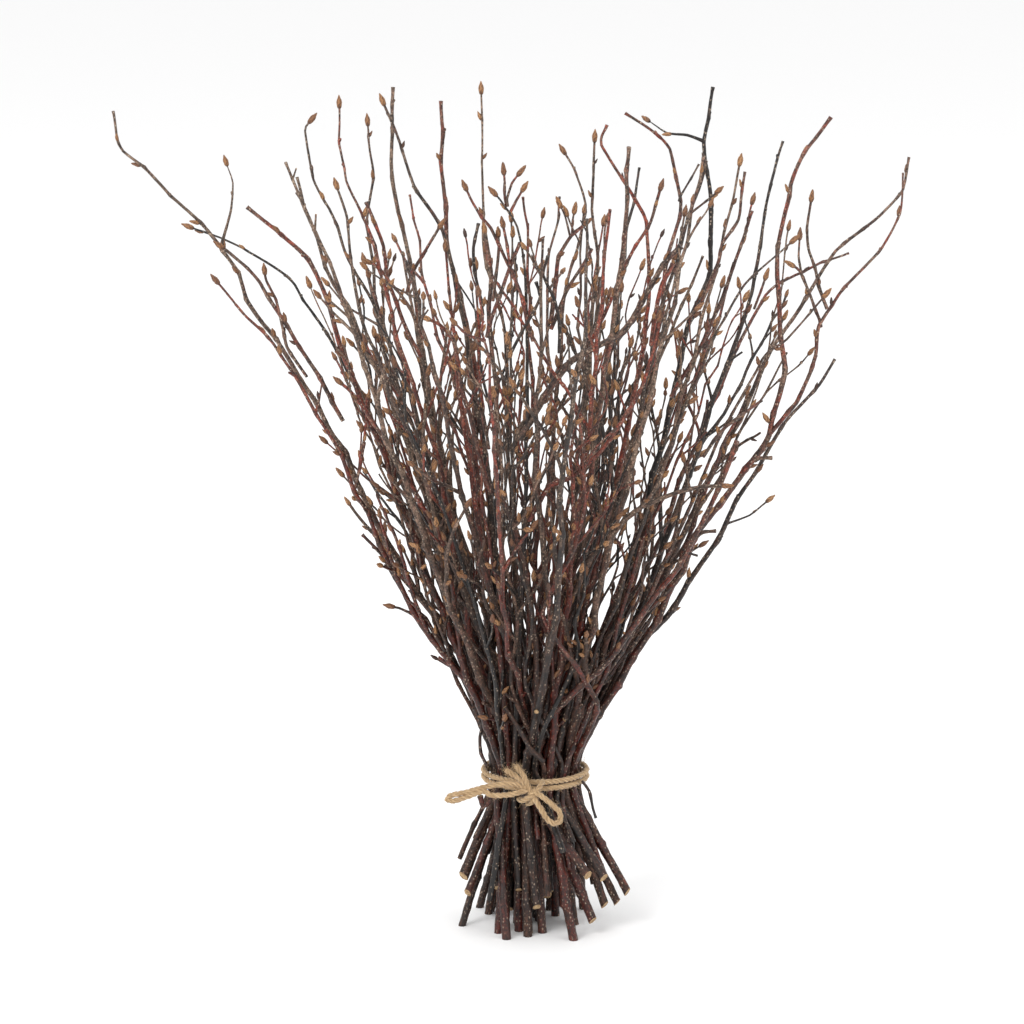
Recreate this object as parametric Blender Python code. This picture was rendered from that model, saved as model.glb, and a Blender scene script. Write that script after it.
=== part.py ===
"""A bundle of young birch twigs, tied with jute twine, standing on its splayed cut ends.

Each twig is a tapered tube along its own course, with its side shoots and buds joined to it.
Twigs that show their whole course from the front follow courses given as (across, up) in
millimetres, as seen from the front and a little above. The others fan out by rule. All of
them are then pressed apart until no two touch, inside the neck that the twine holds.
"""
import math

import bmesh
import bpy
import numpy as np

MM = 0.001

# The bundle
NECK_RADIUS = 23.4 * MM
NECK_LOW = 68.0 * MM
NECK_HIGH = 86.0 * MM
TIE_HEIGHT = 77.0 * MM
FOOT_SPLAY = 1.68
FOOT_TWIST = math.radians(24)
TOUCH_GAP = 0.35 * MM
TALLEST = 430.0 * MM
FRONT_SHOOTS_BELOW = 290.0 * MM

# One twig
BUTT_RADIUS = 2.35 * MM
TIP_SHARE = 0.31
BUD_LENGTH = 6.6 * MM
BUD_RADIUS = 1.45 * MM

# The twine
TWINE_RADIUS = 1.45 * MM
WRAP_GAP = 0.35 * MM
WRAP_RADIUS = 25.6 * MM
WRAP_CORNERS = 18
KNOT_CENTRE = (-2.5 * MM, -28.6 * MM, 75.0 * MM)
KNOT_RADII = (5.0 * MM, 4.0 * MM, 4.8 * MM)

# The view that the front courses are given in: from 12 degrees above and 2.5 m away
VIEW_TILT = math.radians(12)
VIEW_DISTANCE = 2500.0 * MM
VIEW_CENTRE = (-11.5 * MM, 204.5 * MM)

# Front courses: depth of the tip behind the axis, what ends it, and its points from low to tip
FRONT_TWIGS = [
    (-10, "cut", [(-58, 160), (-80, 200), (-95, 233), (-118, 273), (-137, 300),
                  (-157, 337), (-180, 362), (-206, 385), (-211, 405)]),
    (40, "bud", [(-45, 165), (-68, 222), (-95, 278), (-120, 318), (-145, 336),
                 (-175, 348)]),
    (-40, "cut", [(-53, 170), (-75, 230), (-94, 278), (-105, 313), (-113, 331),
                  (-127, 343), (-144, 357)]),
    (30, "cut", [(-46, 185), (-66, 245), (-90, 300), (-101, 320), (-112, 348),
                 (-119, 372)]),
    (-30, "bud", [(-40, 180), (-57, 245), (-81, 310), (-95, 335), (-103, 356),
                  (-111, 371), (-115, 395), (-111, 403)]),
    (40, "bud", [(-42, 190), (-61, 260), (-77, 323), (-86, 352), (-95, 370),
                 (-97, 388), (-98, 411)]),
    (90, "bud", [(-42, 165), (-60, 228), (-77, 295), (-83, 348), (-81, 375),
                 (-84, 402)]),
    (-90, "bud", [(-44, 190), (-66, 250), (-87, 302), (-92, 335), (-94, 352),
                  (-100, 370)]),
    (-70, "bud", [(-53, 142), (-78, 190), (-102, 241), (-130, 288), (-145, 303),
                  (-155, 315), (-161, 322)]),
    (20, "cut", [(-35, 165), (-47, 235), (-57, 290), (-61, 323), (-69, 355),
                 (-72, 380), (-71, 417)]),
    (-35, "bud", [(-21, 175), (-27, 235), (-36, 300), (-47, 345), (-60, 368),
                  (-68, 390), (-77, 412)]),
    (-20, "cut", [(-22, 170), (-27, 235), (-31, 285), (-37, 308), (-44, 340),
                  (-47, 375), (-47, 410)]),
    (60, "bud", [(-11, 180), (-13, 240), (-15, 295), (-25, 333), (-27, 350),
                 (-26, 385), (-27, 418)]),
    (-100, "bud", [(-6, 190), (-4, 260), (-5, 325), (-9, 347), (-17, 360),
                   (-22, 366)]),
    (-50, "cut", [(3, 200), (-2, 280), (-4, 330), (-6, 362)]),
    (110, "bud", [(8, 190), (10, 255), (15, 315), (21, 335), (25, 358), (21, 374),
                  (13, 387)]),
    (30, "bud", [(15, 165), (20, 215), (27, 285), (31, 332), (28, 356), (29, 375),
                 (30, 394)]),
    (-40, "cut", [(31, 180), (47, 250), (57, 310), (56, 348), (49, 361), (33, 388),
                  (36, 398)]),
    (-90, "cut", [(22, 185), (33, 260), (41, 315), (45, 340), (47, 387)]),
    (-10, "cut", [(43, 155), (57, 210), (69, 262), (76, 297), (87, 325), (88, 363),
                  (84, 390), (89, 417)]),
    (70, "cut", [(34, 170), (47, 228), (60, 285), (67, 332), (72, 360), (67, 386),
                 (57, 396), (45, 404)]),
    (-60, "bud", [(46, 165), (63, 222), (78, 277), (90, 325), (99, 362),
                  (103, 382)]),
    (60, "cut", [(53, 158), (73, 212), (92, 265), (109, 315), (115, 357),
                 (120, 378), (124, 390)]),
    (-20, "cut", [(62, 153), (82, 195), (102, 221), (117, 243), (124, 275),
                  (121, 323), (127, 368), (142, 393), (148, 402)]),
    (30, "cut", [(57, 157), (78, 202), (100, 247), (117, 285), (131, 305),
                 (150, 335), (172, 353), (184, 366), (187, 382)]),
    (-90, "bud", [(40, 160), (58, 212), (77, 262), (92, 296), (105, 318),
                  (131, 342)]),
    (90, "cut", [(56, 178), (77, 230), (97, 277), (115, 313), (130, 323),
                 (157, 334)]),
    (-60, "bud", [(52, 152), (72, 195), (92, 240), (113, 281), (126, 291),
                  (147, 315)]),
    (50, "cut", [(65, 150), (90, 190), (112, 228), (126, 250), (142, 268),
                 (150, 281)]),
]

# The second arm of a main fork: its twig, the point of the twig it leaves, tip depth, course
FORKS = [
    (24, 6, -40, "cut", [(131, 259), (140, 283), (142, 298), (152, 313), (173, 337),
                         (183, 354), (184, 374)]),
]

# Side shoots that show well from the front, given in the same way as the forks
SEEN_SHOOTS = [
    (1, 8, -20, [(-152, 355), (-151, 369), (-154, 378)]),
    (1, 4, -30, [(-84, 206), (-90, 211)]),
    (20, 9, 0, [(76, 393), (66, 394), (57, 400)]),
]

# Front twigs that show only buds
BARE_TWIGS = [17]

# Cut ends that show at the foot, in millimetres: across, depth behind the axis, height
FEET = [
    (-36, -5, 23.5), (-34, -15, 18), (-36.5, -8, 0), (-13.5, -30, 0), (-3.5, -27, 0),
    (3.5, -20, 0), (18.5, -33, 0), (29, -25, 6.3), (35, -15, 11.5), (41.5, -10, 11.5),
    (46.5, -12, 17.5), (34.5, -28, 29.5), (27, -32, 32.5),
]

# The ends of the twine in millimetres, seen from the front: across, up, depth behind the axis
LEFT_LOOP = [
    (-3.5, 66, -31.5), (-10, 68.5, -33), (-17, 68.5, -33), (-25, 67, -31.5), (-34, 64.5, -30),
    (-42, 62.8, -29), (-44, 60.8, -29), (-40.5, 60, -29.5), (-33, 62.5, -30.5), (-26, 65, -32),
    (-21.5, 62.8, -33), (-12, 63.2, -34), (-4, 65.5, -33),
]
RIGHT_LOOP = [
    (-3, 66, -31.5), (1.5, 58.5, -34.5), (6, 51, -37), (9.5, 48.6, -37.5), (12.5, 50, -37.5),
    (12.3, 54.5, -37), (6.5, 60, -35.5), (-1, 65.5, -33),
]
LONG_TAIL = [(-3.5, 66.5, -32), (-9, 72, -33), (-14.5, 75.5, -33)]
SHORT_TAIL = [(-3, 66.5, -32), (-6, 73, -33.5), (-9.5, 77.5, -33)]

# Fans of twigs that fill the round of the bundle: count, middle bearing, half spread,
# reach of the tips from the axis, and the heights of the tips
FANS = [
    (9, 90, 56, (95, 172), (318, 372)),
    (9, -90, 56, (95, 178), (335, 405)),
    (4, 0, 180, (30, 70), (270, 370)),
]

BARK = {
    "bark_red_brown": (0.080, 0.028, 0.018),
    "bark_grey_brown": (0.110, 0.085, 0.075),
    "bark_dark_brown": (0.045, 0.024, 0.018),
}
JUTE_COLOUR = (0.53, 0.36, 0.17)


def unit(vectors):
    """Each vector at length one."""
    return vectors / np.linalg.norm(vectors, axis=-1, keepdims=True)


def seen_from_front(across, up, depth):
    """The point at this depth that is seen at (across, up) from the front."""
    look = np.array([0.0, math.cos(VIEW_TILT), -math.sin(VIEW_TILT)])
    rise = np.array([0.0, math.sin(VIEW_TILT), math.cos(VIEW_TILT)])
    side = np.array([1.0, 0.0, 0.0])
    eye = VIEW_CENTRE[0] * side + VIEW_CENTRE[1] * rise - VIEW_DISTANCE * look
    target = across * side + up * rise
    share = (depth - eye[1]) / (target[1] - eye[1])
    return eye + share * (target - eye)


def front_course(points, start_depth, tip_depth, end):
    """A course in space from points seen from the front, deepening from the neck to the tip. Its
    last point is the tip of its bud, so a course with a bud stops short of it."""
    low, high = TIE_HEIGHT, points[-1][1] * MM
    course = []
    for across, up in points:
        share = min(max((up * MM - low) / (high - low), 0.0), 1.0)
        depth = start_depth + (tip_depth * MM - start_depth) * share
        course.append(seen_from_front(across * MM, up * MM, depth))
    if end == "bud":
        course[-1] = course[-1] - unit(course[-1] - course[-2]) * BUD_LENGTH * 0.6
    return course


def fan_courses():
    """Courses above the neck of the twigs that fan out by rule."""
    rng = np.random.default_rng(11)
    courses = []
    for count, bearing, spread, reach, heights in FANS:
        for step in range(count):
            angle = math.radians(bearing + spread * (2 * (step + 0.5) / count - 1))
            angle += rng.uniform(-0.08, 0.08)
            tip_reach = rng.uniform(*reach) * MM
            tip_height = rng.uniform(*heights) * MM
            bow = rng.uniform(0.85, 1.25)
            outward = np.array([math.cos(angle), math.sin(angle), 0.0])
            sideways = np.array([-outward[1], outward[0], 0.0])
            course = []
            for share in (0.28, 0.56, 0.8, 1.0):
                sway = rng.uniform(-4, 4) * MM
                away = 20 * MM + (tip_reach - 20 * MM) * share ** bow
                height = NECK_HIGH + (tip_height - NECK_HIGH) * share
                course.append(outward * away + sideways * sway + np.array([0, 0, height]))
            courses.append(course)
    return courses


def neck_slots(count):
    """Evenly spread places inside the neck, from the middle outwards."""
    turn = math.pi * (3 - math.sqrt(5))
    room = NECK_RADIUS - BUTT_RADIUS
    slots = []
    for k in range(count):
        away = room * math.sqrt((k + 0.5) / count)
        slots.append(np.array([away * math.cos(k * turn), away * math.sin(k * turn)]))
    return slots


def share_out_slots(leans, slots):
    """Give each slot, the outermost first, the twig that leans most nearly its way."""
    rng = np.random.default_rng(5)
    steepest = max(np.linalg.norm(lean) for lean in leans)
    wish = [lean / steepest * 1.3 + rng.normal(0, 0.16, 2) for lean in leans]
    free = set(range(len(leans)))
    chosen = {}
    for slot in reversed(slots):
        place = slot / NECK_RADIUS
        best = min(sorted(free), key=lambda k: float(np.linalg.norm(wish[k] - place)))
        chosen[best] = slot
        free.remove(best)
    return chosen


def twig_layout():
    """Every twig before it is pressed apart: points from foot to tip, and its butt radius."""
    rng = np.random.default_rng(3)
    fans = fan_courses()
    leans = [np.array([points[-1][0] * MM, depth * MM]) for depth, _, points in FRONT_TWIGS]
    leans += [course[-1][:2] for course in fans]
    slots = share_out_slots(leans, neck_slots(len(leans)))
    twigs = []
    for number in range(len(leans)):
        slot = slots[number]
        if number < len(FRONT_TWIGS):
            depth, end, points = FRONT_TWIGS[number]
            upper = front_course(points, slot[1], depth, end)
        else:
            upper = fans[number - len(FRONT_TWIGS)]
            end = "bud" if rng.random() < 0.5 else "cut"
        grounded = number % 3 != 1 or np.linalg.norm(slot) < 6 * MM
        foot_height = 0.0 if grounded else rng.uniform(3, 24) * MM
        twist = FOOT_TWIST + rng.uniform(-0.25, 0.25)
        splay = (FOOT_SPLAY + rng.uniform(-0.22, 0.16)) * (NECK_LOW - foot_height) / NECK_LOW
        splay = 1 + (splay - 1) * min(1.0, np.linalg.norm(slot) / (9 * MM))
        turned = np.array([slot[0] * math.cos(twist) - slot[1] * math.sin(twist),
                           slot[0] * math.sin(twist) + slot[1] * math.cos(twist)])
        foot = slot + (turned * splay - slot) * (NECK_LOW - foot_height) / NECK_LOW
        course = [np.array([foot[0], foot[1], foot_height]),
                  np.array([slot[0], slot[1], NECK_LOW]),
                  np.array([slot[0], slot[1], NECK_HIGH])]
        course += upper
        butt = BUTT_RADIUS * rng.uniform(0.76, 1.08)
        if end == "cut":
            butt = BUTT_RADIUS * rng.uniform(0.88, 1.17)
        twigs.append({"course": np.array(course), "butt": butt, "end": end,
                      "grounded": grounded, "number": number + 1})
    place_seen_feet(twigs)
    return twigs


def place_seen_feet(twigs):
    """Move the nearest foot by rule to each cut end that shows in front."""
    free = set(range(len(twigs)))
    for place in FEET:
        foot = np.array(place) * MM
        nearest = min(sorted(free), key=lambda k: float(np.linalg.norm(
            (twigs[k]["course"][0] - foot)[:2])))
        free.remove(nearest)
        twigs[nearest]["course"][0] = foot
        twigs[nearest]["grounded"] = place[2] == 0


def taper(course, butt):
    """The radius at each point of a course, thinning towards the tip."""
    steps = np.linalg.norm(np.diff(course, axis=0), axis=1)
    share = np.concatenate([[0.0], np.cumsum(steps)]) / steps.sum()
    return butt * (1 - (1 - TIP_SHARE) * share ** 1.15)


def nearest_between(a0, a1, b0, b1):
    """Where each pair of straight stretches is closest: both shares and the gap vector."""
    u, v, w = a1 - a0, b1 - b0, a0 - b0
    uu, uv, vv = (u * u).sum(1), (u * v).sum(1), (v * v).sum(1)
    uw, vw = (u * w).sum(1), (v * w).sum(1)
    spread = np.maximum(uu * vv - uv * uv, 1e-18)
    s = np.clip((uv * vw - vv * uw) / spread, 0, 1)
    t = np.clip((uv * s + vw) / vv, 0, 1)
    s = np.clip((uv * t - uw) / uu, 0, 1)
    return s, t, w + u * s[:, None] - v * t[:, None]


def press_apart(twigs, rounds=420):
    """Move the courses until all twigs clear each other, held inside the neck by the twine."""
    points = np.concatenate([twig["course"] for twig in twigs])
    radii = np.concatenate([taper(twig["course"], twig["butt"]) for twig in twigs])
    starts = np.cumsum([0] + [len(twig["course"]) for twig in twigs])
    spans = [k for a, b in zip(starts[:-1], starts[1:]) for k in range(a, b - 1)]
    spans = np.array(spans)
    owner = np.concatenate([[n] * (len(twig["course"]) - 1) for n, twig in enumerate(twigs)])
    neck = np.concatenate([[a + 1, a + 2] for a in starts[:-1]])
    level = np.concatenate([[a, a + 1, a + 2] for a in starts[:-1]])
    rest = points.copy()
    first, second = np.triu_indices(len(spans), 1)
    apart = owner[first] != owner[second]
    first, second = spans[first[apart]], spans[second[apart]]
    for turn in range(rounds):
        if turn % 20 == 0:
            middle = (points[first] + points[first + 1] - points[second] - points[second + 1]) / 2
            reach = np.linalg.norm(points[first + 1] - points[first], axis=1)
            reach += np.linalg.norm(points[second + 1] - points[second], axis=1)
            near = np.linalg.norm(middle, axis=1) < reach / 2 + 16 * MM
            one, two = first[near], second[near]
        s, t, gap = nearest_between(points[one], points[one + 1], points[two], points[two + 1])
        distance = np.maximum(np.linalg.norm(gap, axis=1), 1e-7)
        wanted = radii[one] * (1 - s) + radii[one + 1] * s + radii[two] * (1 - t)
        wanted += radii[two + 1] * t + TOUCH_GAP
        short = np.maximum(wanted - distance, 0.0)
        hit = short > 0
        push = gap[hit] / distance[hit, None] * (short[hit, None] * 0.5)
        moves = np.zeros_like(points)
        np.add.at(moves, one[hit], push * (1 - s[hit, None]))
        np.add.at(moves, one[hit] + 1, push * s[hit, None])
        np.add.at(moves, two[hit], -push * (1 - t[hit, None]))
        np.add.at(moves, two[hit] + 1, -push * t[hit, None])
        moves[level, 2] = 0.0
        points = points + moves * 0.7
        if turn < rounds * 0.6:
            points += (rest - points) * 0.03
            points[level, 2] = rest[level, 2]
        away = np.linalg.norm(points[neck, :2], axis=1)
        room = NECK_RADIUS - radii[neck]
        points[neck, :2] *= np.minimum(1.0, room / np.maximum(away, 1e-6))[:, None]
    for n, twig in enumerate(twigs):
        twig["course"] = points[starts[n]:starts[n + 1]]
        twig["radii"] = radii[starts[n]:starts[n + 1]]


class Room:
    """The tubes already placed, to find room for the next one among them."""

    def __init__(self):
        self.near, self.far, self.near_radius, self.far_radius, self.owner = [], [], [], [], []

    def add(self, course, radii, owner):
        for k in range(len(course) - 1):
            self.near.append(course[k])
            self.far.append(course[k + 1])
            self.near_radius.append(radii[k])
            self.far_radius.append(radii[k + 1])
            self.owner.append(owner)

    def is_free(self, course, radii, owner, start=0):
        """Whether the course from its point `start` on clears all tubes but the owner's."""
        near, far = np.array(self.near), np.array(self.far)
        radius = np.maximum(np.array(self.near_radius), np.array(self.far_radius))
        other = np.array([name != owner for name in self.owner])
        for k in range(start, len(course) - 1):
            a0 = np.repeat(course[k][None], len(near), axis=0)
            a1 = np.repeat(course[k + 1][None], len(near), axis=0)
            _, _, gap = nearest_between(a0, a1, near, far)
            clear = np.linalg.norm(gap, axis=1) - radius - max(radii[k], radii[k + 1])
            if np.any(clear[other] < TOUCH_GAP):
                return False
        return True


def with_bud(course, radii, size=1.0):
    """A course and its radii with a pointed bud added at the tip."""
    along = unit(course[-1] - course[-2])
    belly = course[-1] + along * BUD_LENGTH * 0.38 * size
    tip = course[-1] + along * BUD_LENGTH * size
    new_course = np.concatenate([course, [belly, tip]])
    return new_course, np.concatenate([radii, [BUD_RADIUS * size, 0.35 * MM]])


def shoot_from(course, radii, place, bearing, lean, length, thickness):
    """A side shoot with its bud: it leaves the twig leaning out, then bends up along it."""
    k = min(int(place), len(course) - 2)
    share = place - k
    base = course[k] * (1 - share) + course[k + 1] * share
    along = unit(course[k + 1] - course[k])
    aside = unit(np.cross(along, np.array([math.cos(bearing), math.sin(bearing), 0.3])))
    first = unit(along * math.cos(lean) + aside * math.sin(lean))
    second = unit(first + along * 0.35 + np.array([0, 0, 0.2]))
    wood = radii[k] * (1 - share) + radii[k + 1] * share
    if length < 9 * MM:
        course = np.array([base, base + first * (wood + 1.2 * MM)])
        thin = np.array([1.0, 0.9]) * MM
    elif length < 22 * MM:
        course = np.array([base, base + first * length])
        thin = np.array([thickness, thickness * 0.8])
    else:
        bend = base + first * length * 0.55
        course = np.array([base, bend, bend + second * length * 0.45])
        thin = np.array([thickness, thickness * 0.85, thickness * 0.75])
    return with_bud(course, thin, 0.95)


def side_shoots(twigs, room):
    """Shoots for every twig, each put where there is room for it."""
    rng = np.random.default_rng(8)
    shoots = {twig["number"]: [] for twig in twigs}
    for number, leaves_at, tip_depth, points in SEEN_SHOOTS:
        course = arm_from(twigs[number - 1], leaves_at, tip_depth, points)
        course, radii = with_bud(course, taper(course, 1.1 * MM))
        shoots[number].append((course, radii))
        room.add(course, radii, -1)
    for twig in twigs:
        count = 1 + int(rng.random() < 0.2)
        ceiling = FRONT_SHOOTS_BELOW if twig["number"] <= len(FRONT_TWIGS) else TALLEST
        for _ in range(count):
            for _ in range(14):
                place = rng.uniform(3.6, len(twig["course"]) - 1.4)
                long = rng.random() < 0.6
                length = rng.uniform(12, 34) * MM if long else 6 * MM
                course, radii = shoot_from(
                    twig["course"], twig["radii"], place, rng.uniform(0, 2 * math.pi),
                    rng.uniform(0.5, 0.85), length, rng.uniform(0.8, 1.05) * MM)
                if course[:, 2].max() < ceiling and room.is_free(course, radii, twig["number"]):
                    if twig["number"] not in BARE_TWIGS:
                        shoots[twig["number"]].append((course, radii))
                        room.add(course, radii, -1)
                    break
    return shoots


def collection(name, hidden=False):
    """A collection in the scene; a hidden one holds helpers that aren't built."""
    made = bpy.data.collections.new(name)
    bpy.context.scene.collection.children.link(made)
    made.hide_render = hidden
    return made


def material(name, colour, roughness):
    """A plain Principled finish."""
    made = bpy.data.materials.new(name)
    made.use_nodes = True
    shader = made.node_tree.nodes["Principled BSDF"]
    shader.inputs["Base Color"].default_value = (*colour, 1.0)
    shader.inputs["Roughness"].default_value = roughness
    return made


def tube(name, course, radii, group, sides=6, cyclic=False):
    """A closed mesh tube along a course, made from a bevelled curve."""
    data = bpy.data.curves.new(name, "CURVE")
    data.dimensions = "3D"
    data.bevel_depth = 1.0
    data.bevel_resolution = {4: 0, 6: 1, 8: 2}[sides]
    data.use_fill_caps = not cyclic
    spline = data.splines.new("POLY")
    spline.points.add(len(course) - 1)
    for point, place, radius in zip(spline.points, course, radii):
        point.co = (*place, 1.0)
        point.radius = radius
    spline.use_cyclic_u = cyclic
    guide = bpy.data.objects.new(name + "_guide", data)
    group.objects.link(guide)
    bpy.context.view_layer.update()
    evaluated = guide.evaluated_get(bpy.context.evaluated_depsgraph_get())
    mesh = bpy.data.meshes.new_from_object(evaluated)
    place = guide.matrix_world.copy()
    bpy.data.objects.remove(guide)
    work = bmesh.new()
    work.from_mesh(mesh)
    bmesh.ops.remove_doubles(work, verts=work.verts, dist=1e-6)
    bmesh.ops.recalc_face_normals(work, faces=work.faces)
    work.to_mesh(mesh)
    work.free()
    made = bpy.data.objects.new(name, mesh)
    made.matrix_world = place
    group.objects.link(made)
    return made


def cut_level(mesh):
    """Cut a mesh off at the floor and close the cut, so that it stands flat there."""
    work = bmesh.new()
    work.from_mesh(mesh)
    bmesh.ops.bisect_plane(
        work, geom=work.verts[:] + work.edges[:] + work.faces[:], plane_co=(0, 0, 0),
        plane_no=(0, 0, 1), clear_inner=True)
    bmesh.ops.holes_fill(work, edges=[edge for edge in work.edges if edge.is_boundary])
    bmesh.ops.recalc_face_normals(work, faces=work.faces)
    work.to_mesh(mesh)
    work.free()


def helper(made, root):
    """Mark an object as a helper that is joined to another and isn't built itself."""
    made.hide_render = True
    made.display_type = "WIRE"
    made.parent = root


def join_all(target, helpers):
    """Join a collection of closed helpers to the target as one solid."""
    joined = target.modifiers.new("Grown together", "BOOLEAN")
    joined.operation = "UNION"
    joined.operand_type = "COLLECTION"
    joined.collection = helpers
    joined.solver = "EXACT"


def finish(made, finish_material, root):
    """Give a part its material, shade it and hang it on the bundle's own centre."""
    made.data.materials.clear()
    made.data.materials.append(finish_material)
    made.data.shade_smooth()
    made.data.set_sharp_from_angle(angle=math.radians(50))
    made.parent = root


def make_twig(twig, shoots, parts, root, bark):
    """One twig with its shoots joined to it, cut level where it stands on the floor."""
    name = f"twig_{twig['number']:02d}"
    course, radii = twig["course"], twig["radii"]
    if twig["grounded"]:
        down = unit(course[0] - course[1])
        course = np.concatenate([[course[0] + down * 4 * MM], course[1:]])
    if twig["end"] == "bud":
        course, radii = with_bud(course, radii)
    made = tube(name, course, radii, parts)
    if twig["grounded"]:
        cut_level(made.data)
    finish(made, bark, root)
    helpers = collection(name + "_shoots", hidden=True)
    for order, (shoot, thin) in enumerate(shoots):
        helper(tube(f"{name}_shoot_{order}", shoot, thin, helpers, sides=4), root)
    return made, helpers


def arm_from(twig, leaves_at, tip_depth, points):
    """The course of a shoot or fork arm from its twig's middle line to its tip."""
    base = twig["course"][leaves_at]
    reach = points[-1][1] * MM - base[2]
    upper = []
    for across, up in points:
        share = min(max((up * MM - base[2]) / reach, 0.0), 1.0)
        depth = base[1] + (tip_depth * MM - base[1]) * share
        upper.append(seen_from_front(across * MM, up * MM, depth))
    return np.array([base] + upper)


def fork_arm(twig, leaves_at, tip_depth, end, points):
    """The second arm of a fork, from just clear of its twig to its tip."""
    course = arm_from(twig, leaves_at, tip_depth, points)
    wood = twig["radii"][leaves_at]
    radii = taper(course, wood * 0.85)
    onward = unit(twig["course"][leaves_at + 1] - twig["course"][leaves_at])
    first = course[1] - course[0]
    aside = unit(first - onward * (first @ onward))
    course[0] += aside * (wood + radii[0] + TOUCH_GAP)
    if end == "bud":
        course, radii = with_bud(course, radii)
    return course, radii


def twine_pieces():
    """The courses of the twine: two wraps, two loops of the bow and two short tails."""
    pitch = 2 * TWINE_RADIUS + WRAP_GAP
    wraps = []
    for level in (-0.5, 0.5):
        ring = []
        for step in range(WRAP_CORNERS):
            angle = 2 * math.pi * step / WRAP_CORNERS
            ring.append((WRAP_RADIUS * math.cos(angle), WRAP_RADIUS * math.sin(angle),
                         TIE_HEIGHT + level * pitch))
        wraps.append(np.array(ring))
    ends = {}
    for name, points in (("left_loop", LEFT_LOOP), ("right_loop", RIGHT_LOOP),
                         ("long_tail", LONG_TAIL), ("short_tail", SHORT_TAIL)):
        ends[name] = np.array([seen_from_front(x * MM, up * MM, y * MM) for x, up, y in points])
    return wraps, ends


def make_tie(parts, root, jute):
    """The twine as one solid: its knot with the wraps, loops and tails joined to it."""
    wraps, ends = twine_pieces()
    work = bmesh.new()
    bmesh.ops.create_uvsphere(work, u_segments=8, v_segments=5, radius=1.0)
    for vert in work.verts:
        vert.co = [co * radius + middle
                   for co, radius, middle in zip(vert.co, KNOT_RADII, KNOT_CENTRE)]
    mesh = bpy.data.meshes.new("twine_tie")
    work.to_mesh(mesh)
    work.free()
    made = bpy.data.objects.new("twine_tie", mesh)
    parts.objects.link(made)
    helpers = collection("twine_tie_strands", hidden=True)
    for order, ring in enumerate(wraps):
        helper(tube(f"wrap_{order}", ring, [TWINE_RADIUS] * len(ring), helpers, cyclic=True), root)
    for name, course in ends.items():
        helper(tube(name, course, [TWINE_RADIUS] * len(course), helpers), root)
    finish(made, jute, root)
    return made, helpers


def middle_of(room):
    """The middle, seen from above, of the box round all that stands in the room."""
    points = np.array(room.near + room.far)[:, :2]
    return (points.min(0) + points.max(0)) / 2


def main():
    for old in list(bpy.data.objects):
        bpy.data.objects.remove(old)
    parts = collection("bundle_of_twigs")
    root = bpy.data.objects.new("bundle", None)
    parts.objects.link(root)
    barks = [material(name, colour, 0.6) for name, colour in BARK.items()]
    jute = material("jute", JUTE_COLOUR, 0.9)

    twigs = twig_layout()
    press_apart(twigs)
    room = Room()
    for twig in twigs:
        course, radii = twig["course"], twig["radii"]
        if twig["end"] == "bud":
            course, radii = with_bud(course, radii)
        room.add(course, radii, twig["number"])
    for course in twine_pieces()[1].values():
        room.add(course, [TWINE_RADIUS] * len(course), 0)
    arms = []
    for number, leaves_at, tip_depth, end, points in FORKS:
        course, radii = fork_arm(twigs[number - 1], leaves_at, tip_depth, end, points)
        room.add(course, radii, -1)
        arms.append((number, course, radii))
    shoots = side_shoots(twigs, room)

    joins = [make_tie(parts, root, jute)]
    for twig in twigs:
        bark = barks[twig["number"] % 3]
        joins.append(make_twig(twig, shoots[twig["number"]], parts, root, bark))
    for number, course, radii in arms:
        made = tube(f"twig_{number:02d}_fork", course, radii, parts)
        finish(made, barks[number % 3], root)
    for made, helpers in joins:
        join_all(made, helpers)

    centre = middle_of(room)
    root.location = (-centre[0], -centre[1], 0.0)
    bpy.context.view_layer.update()


main()
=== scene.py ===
"""The looks of a bundle of young birch twigs, tied with jute twine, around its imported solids."""
import math

import bmesh
import bpy
import numpy as np
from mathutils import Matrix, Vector


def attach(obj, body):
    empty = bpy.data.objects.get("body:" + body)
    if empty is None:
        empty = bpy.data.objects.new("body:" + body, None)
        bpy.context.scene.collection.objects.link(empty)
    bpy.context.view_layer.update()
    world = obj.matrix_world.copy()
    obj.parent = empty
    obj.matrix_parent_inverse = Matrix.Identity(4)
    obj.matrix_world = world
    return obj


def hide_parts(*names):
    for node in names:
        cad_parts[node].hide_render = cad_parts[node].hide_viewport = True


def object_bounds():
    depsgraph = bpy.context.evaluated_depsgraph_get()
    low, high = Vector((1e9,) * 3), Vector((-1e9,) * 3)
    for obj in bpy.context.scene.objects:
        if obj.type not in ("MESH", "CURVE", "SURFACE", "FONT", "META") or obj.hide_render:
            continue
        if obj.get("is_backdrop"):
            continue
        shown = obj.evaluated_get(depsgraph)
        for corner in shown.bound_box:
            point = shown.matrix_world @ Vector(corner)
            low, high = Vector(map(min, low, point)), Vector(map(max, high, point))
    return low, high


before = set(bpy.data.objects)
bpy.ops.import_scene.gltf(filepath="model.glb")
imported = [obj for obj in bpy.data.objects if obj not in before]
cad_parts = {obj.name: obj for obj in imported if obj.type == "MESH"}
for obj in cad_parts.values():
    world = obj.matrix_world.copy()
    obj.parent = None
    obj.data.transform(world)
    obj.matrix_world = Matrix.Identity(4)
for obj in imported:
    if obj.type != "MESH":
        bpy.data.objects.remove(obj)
cad_low, cad_high = (np.array(corner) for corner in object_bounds())

MM = 0.001

# The bundle
NECK_RADIUS = 23.4 * MM
NECK_LOW = 68.0 * MM
NECK_HIGH = 86.0 * MM
TIE_HEIGHT = 77.0 * MM
FOOT_SPLAY = 1.68
FOOT_TWIST = math.radians(24)
TOUCH_GAP = 0.35 * MM
TALLEST = 430.0 * MM
FRONT_SHOOTS_BELOW = 290.0 * MM

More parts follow.
